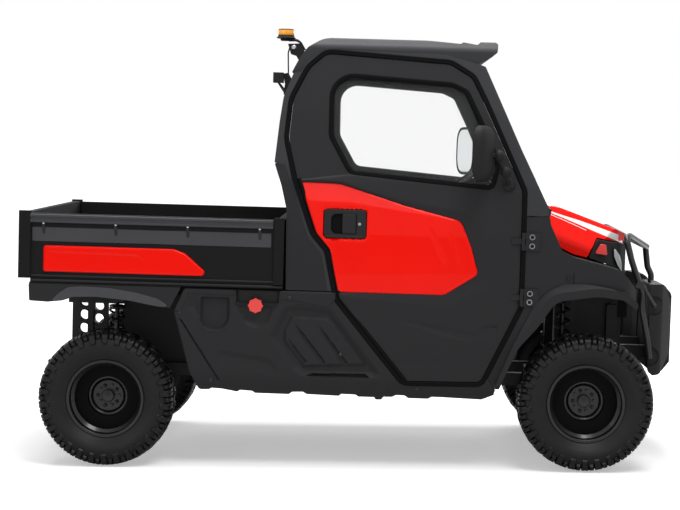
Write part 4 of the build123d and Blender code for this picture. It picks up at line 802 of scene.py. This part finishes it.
def mirror_rings(depth, scale):
    """Superellipse rings of the door mirror in body millimetres, each at a depth and of a scale, turned about
    the vertical and moved to their place."""
    a = np.linspace(0, 2 * math.pi, MIRROR_STEPS, endpoint=False)
    y, z = (np.sign(f) * np.abs(f) ** (2 / 3.2) for f in (np.cos(a), np.sin(a)))
    depth, scale = np.array(depth)[:, None], np.array(scale)[:, None]
    pts = np.stack([depth + 0 * y, MIRROR_HALF_W * scale * y, MIRROR_HALF_H * scale * z], -1)
    c, s = math.cos(MIRROR_TURN), math.sin(MIRROR_TURN)
    return grid(pts @ np.array([[c, -s, 0], [s, c, 0], [0, 0, 1]]).T + np.array(MIRROR_AT, float), wrap_v=True)


def ball(centre, radius):
    """Sphere as a lathe of a half circle."""
    a = np.linspace(0, math.pi, 13)
    profile = np.stack([-radius * np.cos(a), np.maximum(radius * np.sin(a), ON_AXIS)], -1)
    return lathe(profile, centre, UP, 20, up=AHEAD)


class UTV_OT_mirrors(bpy.types.Operator):
    """Door mirrors on two-ball arms, with the door handles"""

    bl_idname = "utv.mirrors"
    bl_label = "Mirrors and handles"

    def execute(self, context):
        # housing: depth and scale of its rings, from the flat glass rim at the back to a domed front
        shell = [(-20, 0.001), (-20, 0.9), (-23, 0.93), (-25.5, 0.97), (-24, 1.0), (-14, 1.0), (2, 0.97), (14, 0.86),
                 (22, 0.66), (25.5, 0.4), (26, 0.001)]
        scale = np.array([0.001, 0.5, 0.85, 0.895])
        face = mirror_rings(-21.5 - 1.5 * (1 - scale ** 2), scale)
        arm = [(730, -756, 1375), (726, -780, 1392), (712, -800, 1424), (690, -815, 1470), (668, -830, 1502),
               (640, -848, 1514)]
        fitting = [mirror_rings(*zip(*shell)), tube(resample(arm, 30, closed=False), 10, 12, up=AHEAD),
                   ball((712, -800, 1432), 26), ball((678, -828, 1508), 27),
                   knob([(0, 30), (6, 30), (12, 24)], (733, -754, 1372), (0.1, -1, 0.1))]
        fitting += [knob([(0, 8), (5, 8), (7, 5)], (733 + dx, -766, 1372 + dz), OUT, 6)
                    for dx, dz in ((-16, -10), (16, -10), (0, 18))]
        line = outline(HANDLE, 90)
        section = [(-6, -3), (6, -3), (6, 1), (3, 3), (-3, 3), (-6, 1)]
        bezel = ribbon(side_path(grown(line, -4), 7), OUT, section, closed=True)
        hollow = outline([(-95, 1120, 28), (26, 1120, 6), (26, 1215, 6), (-95, 1215, 28)], 90)
        dish = dished(grown(line, -3), hollow, (-745, -769.5, -757.5))
        paddle = outline([(-41, 1122, 5), (23, 1122, 5), (23, 1213, 5), (-41, 1213, 5)], 60)
        lock = knob([(0, 15), (8, 15), (11, 12)], (40, -760, 1168), OUT)
        handle = [bezel, dish, plate(paddle, -772.5, -752, bevel=3), lock]
        key = knob([(0, 8), (1.5, 7)], (40, -771, 1168), OUT, 20)
        # a dark rubber sheet on the floor of the handle's hollow: painted shade in the recess
        hollow_shade_plate = plate(grown(hollow, -1.5), -758.6, -757)
        for side in SIDES:
            sided(side, "mirror_and_handle_{}", fitting, "door_{}", "moulding_deep", smooth=40,
                  slot="black_plastic", replaces=["door_fittings_{}"])
            sided(side, "door_handle_{}", handle, "door_{}", "moulding")
            sided(side, "handle_hollow_painted_shade_{}", [hollow_shade_plate], "door_{}", "rubber")
            sided(side, "mirror_face_{}", [face], "door_{}", "mirror", smooth=60, outward=False)
            sided(side, "key_barrel_{}", [key], "door_{}", "steel")
        return {"FINISHED"}


BEACON_AT = (-366.0, 0, 0)
PIVOT = (-325, 0, 2017)


class UTV_OT_beacon(bpy.types.Operator):
    """Warning beacon on its folding bracket, with its lead, and the work lamp's bracket"""

    bl_idname = "utv.beacon"
    bl_label = "Beacon"

    def execute(self, context):
        lens = [(2079, 39), (2081, 40), (2092, 40.5), (2104, 40), (2106, 38)]
        cap = [(2104, 37), (2105, 40), (2108, 39), (2109.8, 34)]
        foot = [(2050, 26), (2060, 30), (2063, 48), (2066, 49), (2070, 43), (2080, 40)]
        lens, cap, foot = (knob(profile, BEACON_AT, UP, 48, up=AHEAD) for profile in (lens, cap, foot))
        piece("beacon_lens", [lens], "vehicle", "amber", slot="amber", replaces=["beacon_dome"])
        posts = [tube([(BEACON_AT[0] + 37 * c, 37 * d, z) for z in (2078, 2107)], 3.2, 8, up=AHEAD)
                 for c, d in ((0, 1), (0, -1), (1, 0), (-1, 0))]
        arm = rounded([(-352, 2054, 0), (-300, 2056, 40), (-270, 2006, 0)], closed=False)
        arm = at_y(resample(arm, 24, closed=False), 0)
        strap = ribbon(arm, (0, 1, 0), [(-6, -18), (6, -18), (6, 18), (-6, 18)])
        cheek = [(-355, 2035), (-295, 2038), (-262, 1985), (-240, 1962), (-302, 1958), (-312, 1976), (-339, 1984)]
        cheeks = [plate(cheek, y - 3, y + 3) for y in (-23, 23)]
        barrel = knob([(-24, 9), (24, 9)], PIVOT, (0, 1, 0), 20)
        lead = rounded([(-345, 2026, 40), (-354, 1990, 40), (-352, 1930, 40), (-350, 1880, 40)], closed=False)
        lead = tube(at_y(lead, 6), 3.6, 10, up=(0, 1, 0))
        clamp = [(-376, 1884), (-350, 1890), (-331, 1856), (-352, 1798), (-366, 1776), (-372, 1782), (-366, 1832)]
        clamp = plate(clamp, -10, 10)
        piece("beacon_arm", [cap, foot, strap, barrel, lead, clamp] + posts + cheeks, "vehicle", "moulding_deep",
              slot="black_steel", replaces=["beacon_bracket"])
        pin = knob([(0, 12), (3, 12), (6, 8)], (PIVOT[0], -26, PIVOT[2]), OUT, 20)
        piece("beacon_bolt", [pin], "vehicle", "steel")
        return {"FINISHED"}


# ------------------------------------------------------------------ side covers
SILL = [
    (-652, 361), (-640, 368), (-589, 365), (-520, 353), (-504, 362), (-448, 359), (-435, 349), (-274, 348),
    (-258, 360), (-207, 362), (-189, 351), (-37, 347), (-24, 357), (43, 356), (56, 346), (133, 346), (137, 334),
    (167, 335), (175, 349), (217, 350), (234, 360), (276, 359), (293, 346), (387, 346), (403, 356), (444, 356),
]
SIDE_COVER = [(-824, 733, 12), (-777, 844, 12), (-61.5, 844, 6), (-58.5, 808, 30), (259.5, 424, 46), (628, 427, 46),
              (657, 473, 6), (702, 404, 10), (699, 376, 10), (640, 350, 20)]
SIDE_COVER += [(x, z, 3) for x, z in reversed(SILL)] + [(-700, 358, 20), (-745, 440, 30)]
FOOT_POCKET = [(-700, 806, 8), (-700, 650, 62), (-563, 650, 62), (-563, 806, 8)]
FRONT_FACET = [(-768, 748, 0), (-758, 806, 0), (-694, 806, 0), (-694, 690, 0)]
FILLER_POCKET = [(-552, 784, 10), (-491, 684, 40), (-431, 661, 50), (-381, 679, 40), (-349, 748, 30), (-317, 782, 10)]
FILLER_NOTCH = [(-531, 860), (-531, 780), (-330, 780), (-330, 860)]
TOP_BAR = [(-830, 733), (-777, 850), (-534, 850), (-534, 814), (-752, 816), (-792, 728)]
VENT_DISH = [(-371, 624, 30), (-308, 770, 30), (-224, 785, 20), (-81, 768, 20), (163, 459, 10), (130, 439, 10),
             (-207, 439, 20), (-258, 471, 20)]
VENT_PLATEAU = [(-269, 732, 12), (-97, 725, 16), (-58, 696, 12), (99, 498, 10), (-208, 482, 12), (-304, 604, 20),
                (-305, 655, 12)]
LOW_SCOOP = [(-207, 439), (-165, 455), (88, 459), (109, 438)]
TOP_LEDGE = [(-330, 850), (-325, 798), (-283, 800), (-226, 792), (-100, 770), (-60, 815), (-60, 850)]
# lift of each outline over what lies round it, and the distance in which it is reached
COVER_LEVELS = [(TOP_BAR, 5.5, 5), (VENT_DISH, -18, 30), (VENT_PLATEAU, 15, 14), (LOW_SCOOP, -20, 7),
                (TOP_LEDGE, 5, 4)]
VENT_LOUVRES = [((-256, 700), (-100, 505)), ((-142, 690), (5, 506)), ((-288, 625), (-188, 506))]
SEAM = ((-790, 694), (-607, 412))


def beside(x, z, start, end):
    """Distances from a straight line: along it from its start, and square to it on the rear, lower side."""
    t = unit(np.subtract(end, start))
    dx, dz = x - start[0], z - start[1]
    return dx * t[0] + dz * t[1], dx * t[1] - dz * t[0], math.dist(start, end)


def side_relief(x, z, v):
    """Lift of the side cover over the cab's skin: a flat level with pockets, a dished vent with a raised plateau
    and louvres, ledges, a shallow valley and a seam, each from its distance inside its own outline."""
    edge = within(x, z, SIDE_COVER, steps=4)
    lift = 4.5 - 5.0 * (1 - rise(edge, 0, 7)) ** 2
    pocket = within(x, z, FOOT_POCKET)
    lift = lift - 21 * rise(pocket, 0, 9) + 3.5 * np.exp(-((pocket + 6) / 4.5) ** 2) * (z < 790)
    lift = lift - 11 * rise(within(x, z, FRONT_FACET), 0, 34) * (pocket < 0)
    filler = within(x, z, FILLER_POCKET)
    lift = lift - np.maximum(20 * rise(filler, 0, 24), 24 * rise(within(x, z, FILLER_NOTCH), 0, 6) * (z > 782))
    for corners, height, reach in COVER_LEVELS:
        lift = lift + height * rise(within(x, z, corners), 0, reach)
    for start, end in VENT_LOUVRES:
        run, off, length = beside(x, z, start, end)
        lift = lift - 13 * (1 - rise(off, 2, 40)) * (off > 0) * rise(run, 0, 60) * rise(length - run, 0, 12)
    above = z - np.interp(x, [-622, -377, -334], [536, 502, 469])
    valley = np.where(above > 0, 1 - rise(above, 0, 22), 1 - rise(-above, 0, 60))
    lift = lift - 9 * valley * rise(x, -622, -590) * rise(-x, 334, 350)
    run, off, length = beside(x, z, *SEAM)
    along_seam = (run > 0) & (run < length)
    return lift - 8 * (1 - rise(np.abs(off), 2.0, 4.5)) * along_seam - 2 * ((off > 0) & (z < 700))


def bolt(x, z, out, radius, dish):
    """Domed bolt head on the right-hand side, in body millimetres."""
    top = 3.5 - dish
    return knob([(-2, radius), (2, radius), (3.5, radius * 0.75), (top, radius * 0.4)], (x, -out, z), OUT, 16)


class UTV_OT_side_covers(bpy.types.Operator):
    """Moulded covers of the sills and the engine bay"""

    bl_idname = "utv.side_covers"
    bl_label = "Side covers"

    def execute(self, context):
        shell = cover(rounded(SIDE_COVER, steps=6), 4.6, 112, side_relief, 26)
        for side in SIDES:
            sided(side, "side_cover_{}", [shell], "vehicle", "moulding", smooth=28, slot="black_plastic",
                  replaces=["side_panels"])
        radius = context.scene.utv_trim.bolt_radius * 1000
        heads = [bolt(x, z, float(skin(z)) + out, radius, 1.5)
                 for x, z, out in ((-644, 407, 5), (333, 395, 5), (-33, 550, 5), (-796, 730, 5), (-280, 812, 10))]
        piece("side_cover_bolts", both(heads), "vehicle", "dark_steel")
        arch = cover(rounded(FLARE), 6, 30, flare_lift, 6, base=fender_side)
        piece("fender_flares", both([arch]), "vehicle", "moulding", smooth=35, slot="black_plastic")
        return {"FINISHED"}


FLARE_LOW = [(722, 424, 0), (798, 603, 200), (892, 711, 200), (970, 830, 90), (1165, 860, 200), (1290, 846, 60),
             (1346, 806, 10)]
FLARE_TOP = [(1350, 814, 6), (1300, 862, 40), (1243, 897, 80), (1124, 916, 200), (1013, 916, 80), (940, 883, 60),
             (870, 810, 60), (768, 600, 60), (700, 430, 0)]
FLARE = FLARE_LOW + FLARE_TOP
FLARE_HALF, SKIN_LIFT = 784.0, 0.8  # half-width of the flare's lip, and its lift where it meets the fender


def fender_side(x, z):
    """Half-width of the front fender: the cab's skin, drawn in where the plan curves to the nose."""
    return np.minimum(skin(z), np.interp(x, [1180, 1240, 1300, 1345, 1380], [790, 785, 763, 712, 640]))


def flare_lift(x, z, v):
    """Arch flare over the fender: level with its lip for 40 mm, then a hollow curve down to the fender."""
    lip = -within(x, z, ARCH_HOLE)
    out = FLARE_HALF - fender_side(x, z)
    fall = np.where(lip < 40, 1, (1 - rise(lip, 40, 92)) ** 1.7)
    return SKIN_LIFT + (out - SKIN_LIFT) * fall - 3 * (1 - rise(v, 0, 0.05))


ARCH_HOLE = [(1350, 799, 10), (1290, 846, 60), (1165, 860, 200), (970, 830, 90), (892, 711, 200), (798, 603, 200),
             (720, 404, 0), (700, 200, 0), (1500, 200, 0), (1500, 700, 0)]


# ------------------------------------------------------------------ door skins
DOOR_SKIN = [
    (-256, 1370, 8), (-4, 1404, 60), (300, 1383, 200), (640, 1352, 40), (700, 1346, 20), (795, 1343, 6),
    (795.5, 801, 60), (626.5, 440, 34), (269, 435, 40), (-48, 815, 30), (-58, 861, 40), (-98, 1047, 60),
    (-166, 1126, 50),
]
RED_BORDER = [
    (-262, 1372, 0), (-151, 1369, 60), (-58, 1366, 60), (65, 1329, 200), (210, 1290, 200), (354, 1262, 200),
    (483, 1247, 60), (548, 1228, 60), (592, 1194, 60), (623, 1130, 60), (649, 1009, 60), (660, 915, 20),
    (656, 883, 10), (490, 795, 20), (267, 804, 60), (19, 821, 60), (-70, 846, 0), (-110, 1044, 0), (-176, 1122, 0),
]
DOOR_WEDGE = [(140, 741), (226, 735), (443, 700), (640, 662), (578, 630), (535, 631), (372, 676), (227, 718)]
HANDLE_HOLE = [(-131, 1096, 18), (75, 1096, 18), (75, 1239, 18), (-131, 1239, 18)]
PANEL_DENTS = [(2.2, (371, 1155), (444, 996), 1165), (1.8, (465, 1133), (505, 1005), 1140)]


def door_relief(x, z, v):
    """Lift of the door skin: it swells towards a border round the red panel and slopes in from there to the
    panel, with a wedge-shaped dip and a chamfered foot below."""
    red = -within(x, z, DOOR_RED)
    border = within(x, z, RED_BORDER)
    edge = within(x, z, DOOR_SKIN, steps=6)
    low = z < 880
    crest = 9.0
    swell = 1 + (crest - 1) * (1 - rise(-border, 0, np.where(low, 230, 130))) ** 1.3
    slope = 3 + (crest - 3) * rise(red / np.maximum(red + border, 1e-6), 0, 1)
    lift = np.where(border > 0, slope, swell)
    wedge = within(x, z, DOOR_WEDGE)
    lift = lift - 7 * rise(wedge, 0, 24)
    foot = np.minimum(z - (487 + 0.04 * (x - 219)), (640 - x) * 0.9 + (z - 647) * 0.4)
    lift = lift - 6 * (1 - rise(foot, 0, 42)) * (x < 700) * (z < 700)
    lift = lift * rise(edge, 0, 9) + 0.4
    lift = np.where(red < -1.5, -2.5, lift)
    return np.where(within(x, z, HANDLE_HOLE) > 0, -10, lift)


def red_relief(x, z, v):
    """Lift of the red door panel: level, with its edges rolled in, an upper facet leaning back and two dents."""
    edge = within(x, z, DOOR_RED)
    crest = np.interp(x, [-148, -5, 103, 355, 484, 544, 576, 593], [1270, 1267, 1252, 1216, 1202, 1135, 1036, 943])
    foot = np.interp(x, [-64, 471, 593], [930, 946, 943])
    lift = 9.5 - 0.13 * np.maximum(z - crest, 0) - 0.03 * np.maximum(foot - z, 0)
    for depth, start, end, top in PANEL_DENTS:
        off = beside(x, z, start, end)[1]
        lift = lift - depth * np.exp(-(off / 9) ** 2) * rise(z, 985, 1010) * rise(-z, -top, 25 - top)
    hole = within(x, z, HANDLE_HOLE)
    lift = lift - 2.5 * (1 - rise(-hole, 0, 9)) * (hole < 0) - 18 * (hole > 3)
    return lift - 6 * (1 - rise(edge, 0, 9)) ** 2


class UTV_OT_door_skins(bpy.types.Operator):
    """Moulded outer skins and red panels of the doors"""

    bl_idname = "utv.door_skins"
    bl_label = "Door skins"

    def execute(self, context):
        outer = cover(rounded(DOOR_SKIN), 5.8, 128, door_relief, 12)
        panel = cover(rounded(DOOR_RED), 4.2, 90, red_relief, 12)
        for side in SIDES:
            sided(side, "door_skin_{}", [outer], "door_{}", "moulding", smooth=26, slot="black_plastic")
            sided(side, "door_red_{}", [panel], "door_{}", "red", slot="red_gloss", replaces=["door_panel_{}"])
        return {"FINISHED"}


# ------------------------------------------------------------------ front end
LAMP_PLAN = [(1196, -591), (1240, -572), (1272, -545), (1290, -524), (1306, -496), (1326, -452)]


class UTV_OT_nose_trim(bpy.types.Operator):
    """Painted highlights along the bonnet's crease and across its rear top, side markers, lamp lenses, arch liners,
    hinge bolts and fender seams
    """

    bl_idname = "utv.nose_trim"
    bl_label = "Nose trim"

    def execute(self, context):
        # white strips laid on the bonnet: painted highlights along the crease and across the rear of its top
        xs = np.linspace(955, 1292, 70)
        low = np.interp(xs, [955, 1018, 1087, 1148, 1217, 1312], [1237, 1214, 1187, 1162, 1135, 1098])
        high = np.interp(xs, [955, 1018, 1093, 1161, 1229, 1312], [1245, 1226, 1205, 1183, 1160, 1131])
        fine_highlight_low, fine_highlight_high = (low - np.interp(xs, [955, 1110], drop) for drop in ([9, 13], [6, 10]))
        for name, a, b, last in (("bonnet_crease_highlight", low, high, 1400), ("bonnet_fine_crease_highlight", fine_highlight_low, fine_highlight_high, 1130)):
            keep = xs < last
            z = (a[:, None] + (b - a)[:, None] * np.linspace(0, 1, 9)[None])[keep]
            for side, sign in (("right", -1), ("left", 1)):
                pts = np.stack([np.broadcast_to(xs[keep, None], z.shape), np.full(z.shape, sign * 640.0), z], -1)
                laid(piece(name + "_" + side, [grid(pts[::-sign])], "hood", "painted_highlight_white", outward=False), "hood", "y")
        v = np.linspace(-1, 1, 90)[:, None]
        x = 953.5 + (22 + 10 * np.abs(v)) * np.linspace(0, 1, 12)[None]
        pts = np.stack([x, np.broadcast_to(v * 476, x.shape), np.full(x.shape, 1340.0)], -1)
        laid(piece("bonnet_rear_highlight", [grid(pts)], "hood", "painted_highlight_white", outward=False), "hood", "z")
        marker = outline([(1189, 1099, 6), (1216, 1096, 6), (1223, 1045, 6), (1164, 1052, 6)], 80)
        piece("side_markers", both([plate(marker, -600, -590, bevel=2)]), "vehicle", "red_lens")
        t = np.linspace(0, 1, 25)[:, None]
        across = np.linspace(0, 1, 8)[None]
        left = np.interp(t, [0, 0.35, 0.75, 1], [1259, 1262, 1282, 1303])
        right = np.interp(t, [0, 0.3, 0.7, 1], [1266, 1291, 1307, 1308])
        x = left + (right - left) * across
        z = np.broadcast_to(1074 - 106 * t, x.shape)
        y = np.interp(x, *np.transpose(LAMP_PLAN))
        swell = 3 + 7 * np.sin(np.pi * across) * np.sin(np.pi * t)
        lamp = np.concatenate([np.stack([x, y - swell, z], -1), np.stack([x, y + 6.0, z], -1)[:, ::-1]], 1)
        piece("lamp_lenses", both([grid(capped(lamp), wrap_v=True)]), "vehicle", "lens", smooth=40)
        liner = outline([(1288, 745, 4), (1334, 745, 4), (1334, 846, 4), (1288, 852, 4)], 40)
        piece("arch_liners", both([plate(liner, -532, -528)]), "vehicle", "rubber")
        seam = plate([(1050, 861), (1050, 967), (1052.2, 967), (1052.2, 861)], -766.2, -764)
        piece("fender_seams", both([seam]), "vehicle", "rubber")
        hinges = [(850, -773, 1130), (850, -773, 1088), (847, -773, 865), (846, -773, 825)]
        ring = [(-1, 6), (-1, 14), (2.5, 13.5), (2.5, 9), (0, 8.5), (-1, 6)]
        head = [(-1, 8.4), (4, 8.4), (5, 7), (5, 4), (2, 3.6)]
        piece("hinge_washers", both([lathe(ring, at, OUT) for at in hinges]), "vehicle", "chrome")
        heads = [knob(head, at, OUT, 6) for at in hinges] + [bolt(1027, 945, 765, 12, 1.5)]
        piece("hinge_bolts", both(heads), "vehicle", "moulding_deep")
        return {"FINISHED"}


# ------------------------------------------------------------------ bed
def bed_wall(inset):
    """Half-width of the bed's side wall, drawn in by an inset, as a surface of (x, z)."""
    return lambda x, z: np.full(np.shape(x), BED_HALF - inset)


BED_RED = [(-1443, 904, 8), (-1443, 1027, 10), (-830, 1026, 60), (-776, 1008, 30), (-680, 925, 10), (-690, 903, 8)]
REAR_FLARE = [(-1405, 765, 6), (-1370, 800, 30), (-1325, 832, 40), (-1260, 838, 60), (-1130, 834, 100),
              (-1000, 815, 100), (-900, 790, 60), (-842, 752, 6), (-900, 754, 60), (-1032, 778, 60),
              (-1190, 791, 100), (-1300, 788, 40), (-1350, 770, 20)]


def trim_relief(x, z, v):
    """Lift of the bed's red panel: rolled edges, and a crease that steps the lower part down."""
    edge = within(x, z, BED_RED)
    crease = np.interp(x, [-1425, -1375, -1000, -960], [1006, 1001, 994, 960])
    step = rise(crease - z, 0, 6) * rise(x, -1425, -1395) * rise(-x, 955, 1010)
    return 9.5 - 1.6 * step - 7 * (1 - rise(edge, 0, 8)) ** 2


class UTV_OT_bed_trim(bpy.types.Operator):
    """Bed's red panels, bands painted lighter grey as a highlight, bolts, clips, beads, rails and fender flares"""

    bl_idname = "utv.bed_trim"
    bl_label = "Bed trim"

    def execute(self, context):
        trim = cover(rounded(BED_RED), 6, 44, trim_relief, 0.5, base=bed_wall(8))
        piece("bed_red_panels", both([trim]), "load_bed", "red", smooth=32, slot="red_gloss", replaces=["bed_trim"])
        # lighter grey plates over the bed's side band: painted highlight where the sloped band faces up to the light
        grey_painted_highlight = outline([(-1502, 1046, 3), (-364, 1046, 3), (-364, 1112, 3), (-1502, 1112, 3)], 160)
        piece("bed_band_painted_highlights", both([plate(grey_painted_highlight, -771, -765, bevel=2)]), "load_bed", "grey_painted_highlight")
        posts = (-1445, -1105, -766, -427)
        piece("bed_bolts", both([bolt(x, 1131, 773, 5.5, 1) for x in posts]), "load_bed", "steel")
        clips = [outline([(x - 3, 1082, 3), (x + 8, 1082, 3), (x + 8, 1122, 3), (x - 9, 1126, 3)], 32) for x in posts]
        clips = [plate(clip, -773.5, -768, bevel=1) for clip in clips]
        piece("bed_clips", both(clips), "load_bed", "dark_steel", smooth=40)
        beads = [tube([(-1500, -773, z), (-316, -773, z)], r, 10, up=(0, 1, 0)) for z, r in ((884, 5), (862, 6.5))]
        piece("bed_beads", both(beads), "load_bed", "moulding", smooth=40)
        # the rails take the same lighter grey: painted highlight
        rail = [(-780, 1134), (-785, 1138), (-785, 1144), (-780.5, 1147), (-780.5, 1159), (-786, 1162), (-786, 1171),
                (-780, 1175), (-774, 1175), (-774, 1134)]
        piece("bed_rails", both([bar(rail, -1506, -364)]), "load_bed", "grey_painted_highlight", smooth=20)
        # the rear flares take the same lighter grey: painted highlight
        flare = cover(rounded(REAR_FLARE), 6, 20, lambda x, z, v: 1 + 5 * (1 - v) ** 0.7, 3, base=bed_wall(6))
        piece("bed_fender_flares", both([flare]), "load_bed", "grey_painted_highlight", smooth=40)
        return {"FINISHED"}


# ------------------------------------------------------------------ stage
IMAGE_WIDTH, FOCAL_PIXELS, SENSOR = 680, 1901.26, 36.0
CAMERA_AT = (0.158691 + SHIFT, -9.669309, 1.582426)
CAMERA_YAW, CAMERA_PITCH, CAMERA_ROLL = 0.020983, -0.06292, -0.008759
NEAR_UPRIGHT = 0.98  # upward part of a lamp's axis, past which its sides lie along X
# lamps: share of the key light's power, size, place and aim
LAMPS = {
    "key": (1.0, 3.0, (1.8, -4.2, 7.6), (0, 0, 0.8)),
    "top": (1.5, 5.0, (-0.5, 0.5, 6.5), (0, 0, 0.5)),
    "fill": (0.16, 4.0, (-5.0, -5.0, 3.5), (0, 0, 0.8)),
    "back": (0.4, 4.0, (2.0, 6.0, 4.0), (0, 0, 1.0)),
    "front": (0.16, 2.5, (0.5, -8.5, 4.6), (0, 0, 1.0)),
}


def stood(name, data, axes, place):
    """A lamp or camera at a place, with its three axes."""
    obj = bpy.data.objects.new(name, data)
    bpy.context.scene.collection.objects.link(obj)
    obj.matrix_world = Matrix([[*(axis[i] for axis in axes), place[i]] for i in range(3)] + [[0, 0, 0, 1]])
    return obj


class UTV_OT_stage(bpy.types.Operator):
    """Floor, sky, lamps and camera"""

    bl_idname = "utv.stage"
    bl_label = "Stage"

    def execute(self, context):
        level = context.scene.utv_stage
        scene = context.scene
        scene.view_settings.view_transform = "Standard"
        bpy.ops.mesh.primitive_plane_add(size=120, location=(0, 0, -0.0005))
        floor = context.object
        floor.name = "studio_floor"
        mat, tree, bsdf = new_material("studio_floor_white")
        feed(tree, bsdf, Base_Color=(0.9, 0.9, 0.9, 1), Roughness=0.9, Specular_IOR_Level=0.1)
        reach = node(tree, "VectorMath", node(tree, "TexCoord", out="Object"), operation="LENGTH", out="Value")
        fade = node(tree, "MapRange", out="Result", Value=reach, From_Min=2.5, From_Max=7.0, To_Min=0.42, To_Max=1.0)
        seen = node(tree, "LightPath", out="Is Camera Ray")
        glow = node(tree, "Emission", Color=(1, 1, 1, 1), Strength=node(tree, "Math", fade, seen, operation="MULTIPLY"))
        lit = node(tree, "AddShader", bsdf.outputs[0], glow)
        feed(tree, tree.nodes["Material Output"], Surface=lit)
        floor.data.materials.append(mat)

        world = bpy.data.worlds.new("studio_sky")
        scene.world = world
        world.use_nodes = True
        tree = world.node_tree
        rays = tree.nodes.new("ShaderNodeLightPath").outputs
        seen = node(tree, "Math", rays["Is Camera Ray"], rays["Is Transmission Ray"], operation="MAXIMUM")
        seen = node(tree, "Math", seen, rays["Is Glossy Ray"], operation="MAXIMUM")
        strength = node(tree, "MapRange", out="Result", Value=seen, To_Min=level.sky, To_Max=1.0)
        feed(tree, tree.nodes["Background"], Color=(1, 1, 1, 1), Strength=strength)

        for name, (share, size, place, aim) in LAMPS.items():
            lamp = bpy.data.lights.new(name + "_lamp", "AREA")
            lamp.energy, lamp.size = level.key * share, size
            z = unit(np.subtract(place, aim))
            x = unit(np.cross(UP, z) if abs(z[2]) < NEAR_UPRIGHT else AHEAD)
            stood(name + "_lamp", lamp, (x, np.cross(z, x), z), place)

        cam = bpy.data.cameras.new("studio_camera")
        cam.sensor_width = SENSOR
        cam.lens = FOCAL_PIXELS / IMAGE_WIDTH * SENSOR
        cam.clip_end = 200
        turn = Matrix.Rotation(CAMERA_YAW, 3, "Z") @ Matrix.Rotation(CAMERA_PITCH, 3, "X")
        turn = turn @ Matrix.Rotation(CAMERA_ROLL, 3, "Y")
        scene.camera = stood("studio_camera", cam, (turn.col[0], turn.col[2], -turn.col[1]), CAMERA_AT)
        return {"FINISHED"}


# ------------------------------------------------------------------ finishes on the CAD nodes
NODE_FINISH = {
    "rim": ("rim_",),
    "frame": ("chassis_frame", "suspension_arms", "roll_cage", "knuckle_", "beacon_bracket"),
    "guard": ("brush_guard",),
    "steel": ("steering_rack", "lift_rod"),
    "dark_steel": ("lift_barrel", "muffler"),
    "cast": ("engine", "drive_axles"),
    "glass": ("door_glass", "cab_glass"),
    "red": ("hood", "bed_trim", "door_panel"),
    "red_lens": ("fuel_cap",),
    "bed": ("bed_tub", "tailgate"),
    "amber": ("beacon_dome",),
    "dash": ("dashboard", "steering_wheel", "steering_column", "pedals", "floor_pan", "seat_base"),
    # roof and cab sides take the lighter copy of the body plastic, a painted highlight
    "moulding_painted_highlight": ("roof", "cab_sides"),
}


class UTV_OT_node_finishes(bpy.types.Operator):
    """Finishes on the CAD pieces that stay in view"""

    bl_idname = "utv.node_finishes"
    bl_label = "Finishes"

    def execute(self, context):
        kit = finishes()
        for name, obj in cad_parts.items():
            key = next((k for k, starts in NODE_FINISH.items() if name.startswith(starts)), "moulding")
            for s in obj.material_slots:
                s.material = kit[key]
        return {"FINISHED"}


OPERATORS = [
    UTV_OT_node_finishes, UTV_OT_tyres, UTV_OT_wheel_nuts, UTV_OT_springs, UTV_OT_seats, UTV_OT_side_covers,
    UTV_OT_door_skins, UTV_OT_door_seals, UTV_OT_mirrors, UTV_OT_beacon, UTV_OT_nose_trim, UTV_OT_bed_trim,
    UTV_OT_stage,
]
GROUPS = {"utv_look": UTV_PG_look, "utv_tyres": UTV_PG_tyres, "utv_trim": UTV_PG_trim, "utv_stage": UTV_PG_stage}


class UTV_PT_panel(bpy.types.Panel):
    """Buttons for every piece"""

    bl_idname = "UTV_PT_panel"
    bl_label = "Utility vehicle"
    bl_space_type = "VIEW_3D"
    bl_region_type = "UI"
    bl_category = "Utility vehicle"

    def draw(self, context):
        for name in GROUPS:
            group = getattr(context.scene, name)
            for prop in group.bl_rna.properties:
                if prop.identifier not in ("rna_type", "name"):
                    self.layout.prop(group, prop.identifier)
        for op in OPERATORS:
            self.layout.operator(op.bl_idname)


def register():
    """Registers the settings, operators and panel."""
    for cls in [*GROUPS.values(), *OPERATORS, UTV_PT_panel]:
        bpy.utils.register_class(cls)
    for name, cls in GROUPS.items():
        setattr(bpy.types.Scene, name, PointerProperty(type=cls))


def unregister():
    """Takes them out again."""
    for name in GROUPS:
        delattr(bpy.types.Scene, name)
    for cls in reversed([*GROUPS.values(), *OPERATORS, UTV_PT_panel]):
        bpy.utils.unregister_class(cls)


def main():
    """Makes every piece in order."""
    register()
    for op in OPERATORS:
        group, _, call = op.bl_idname.partition(".")
        getattr(getattr(bpy.ops, group), call)()


if __name__ == "__main__":
    main()
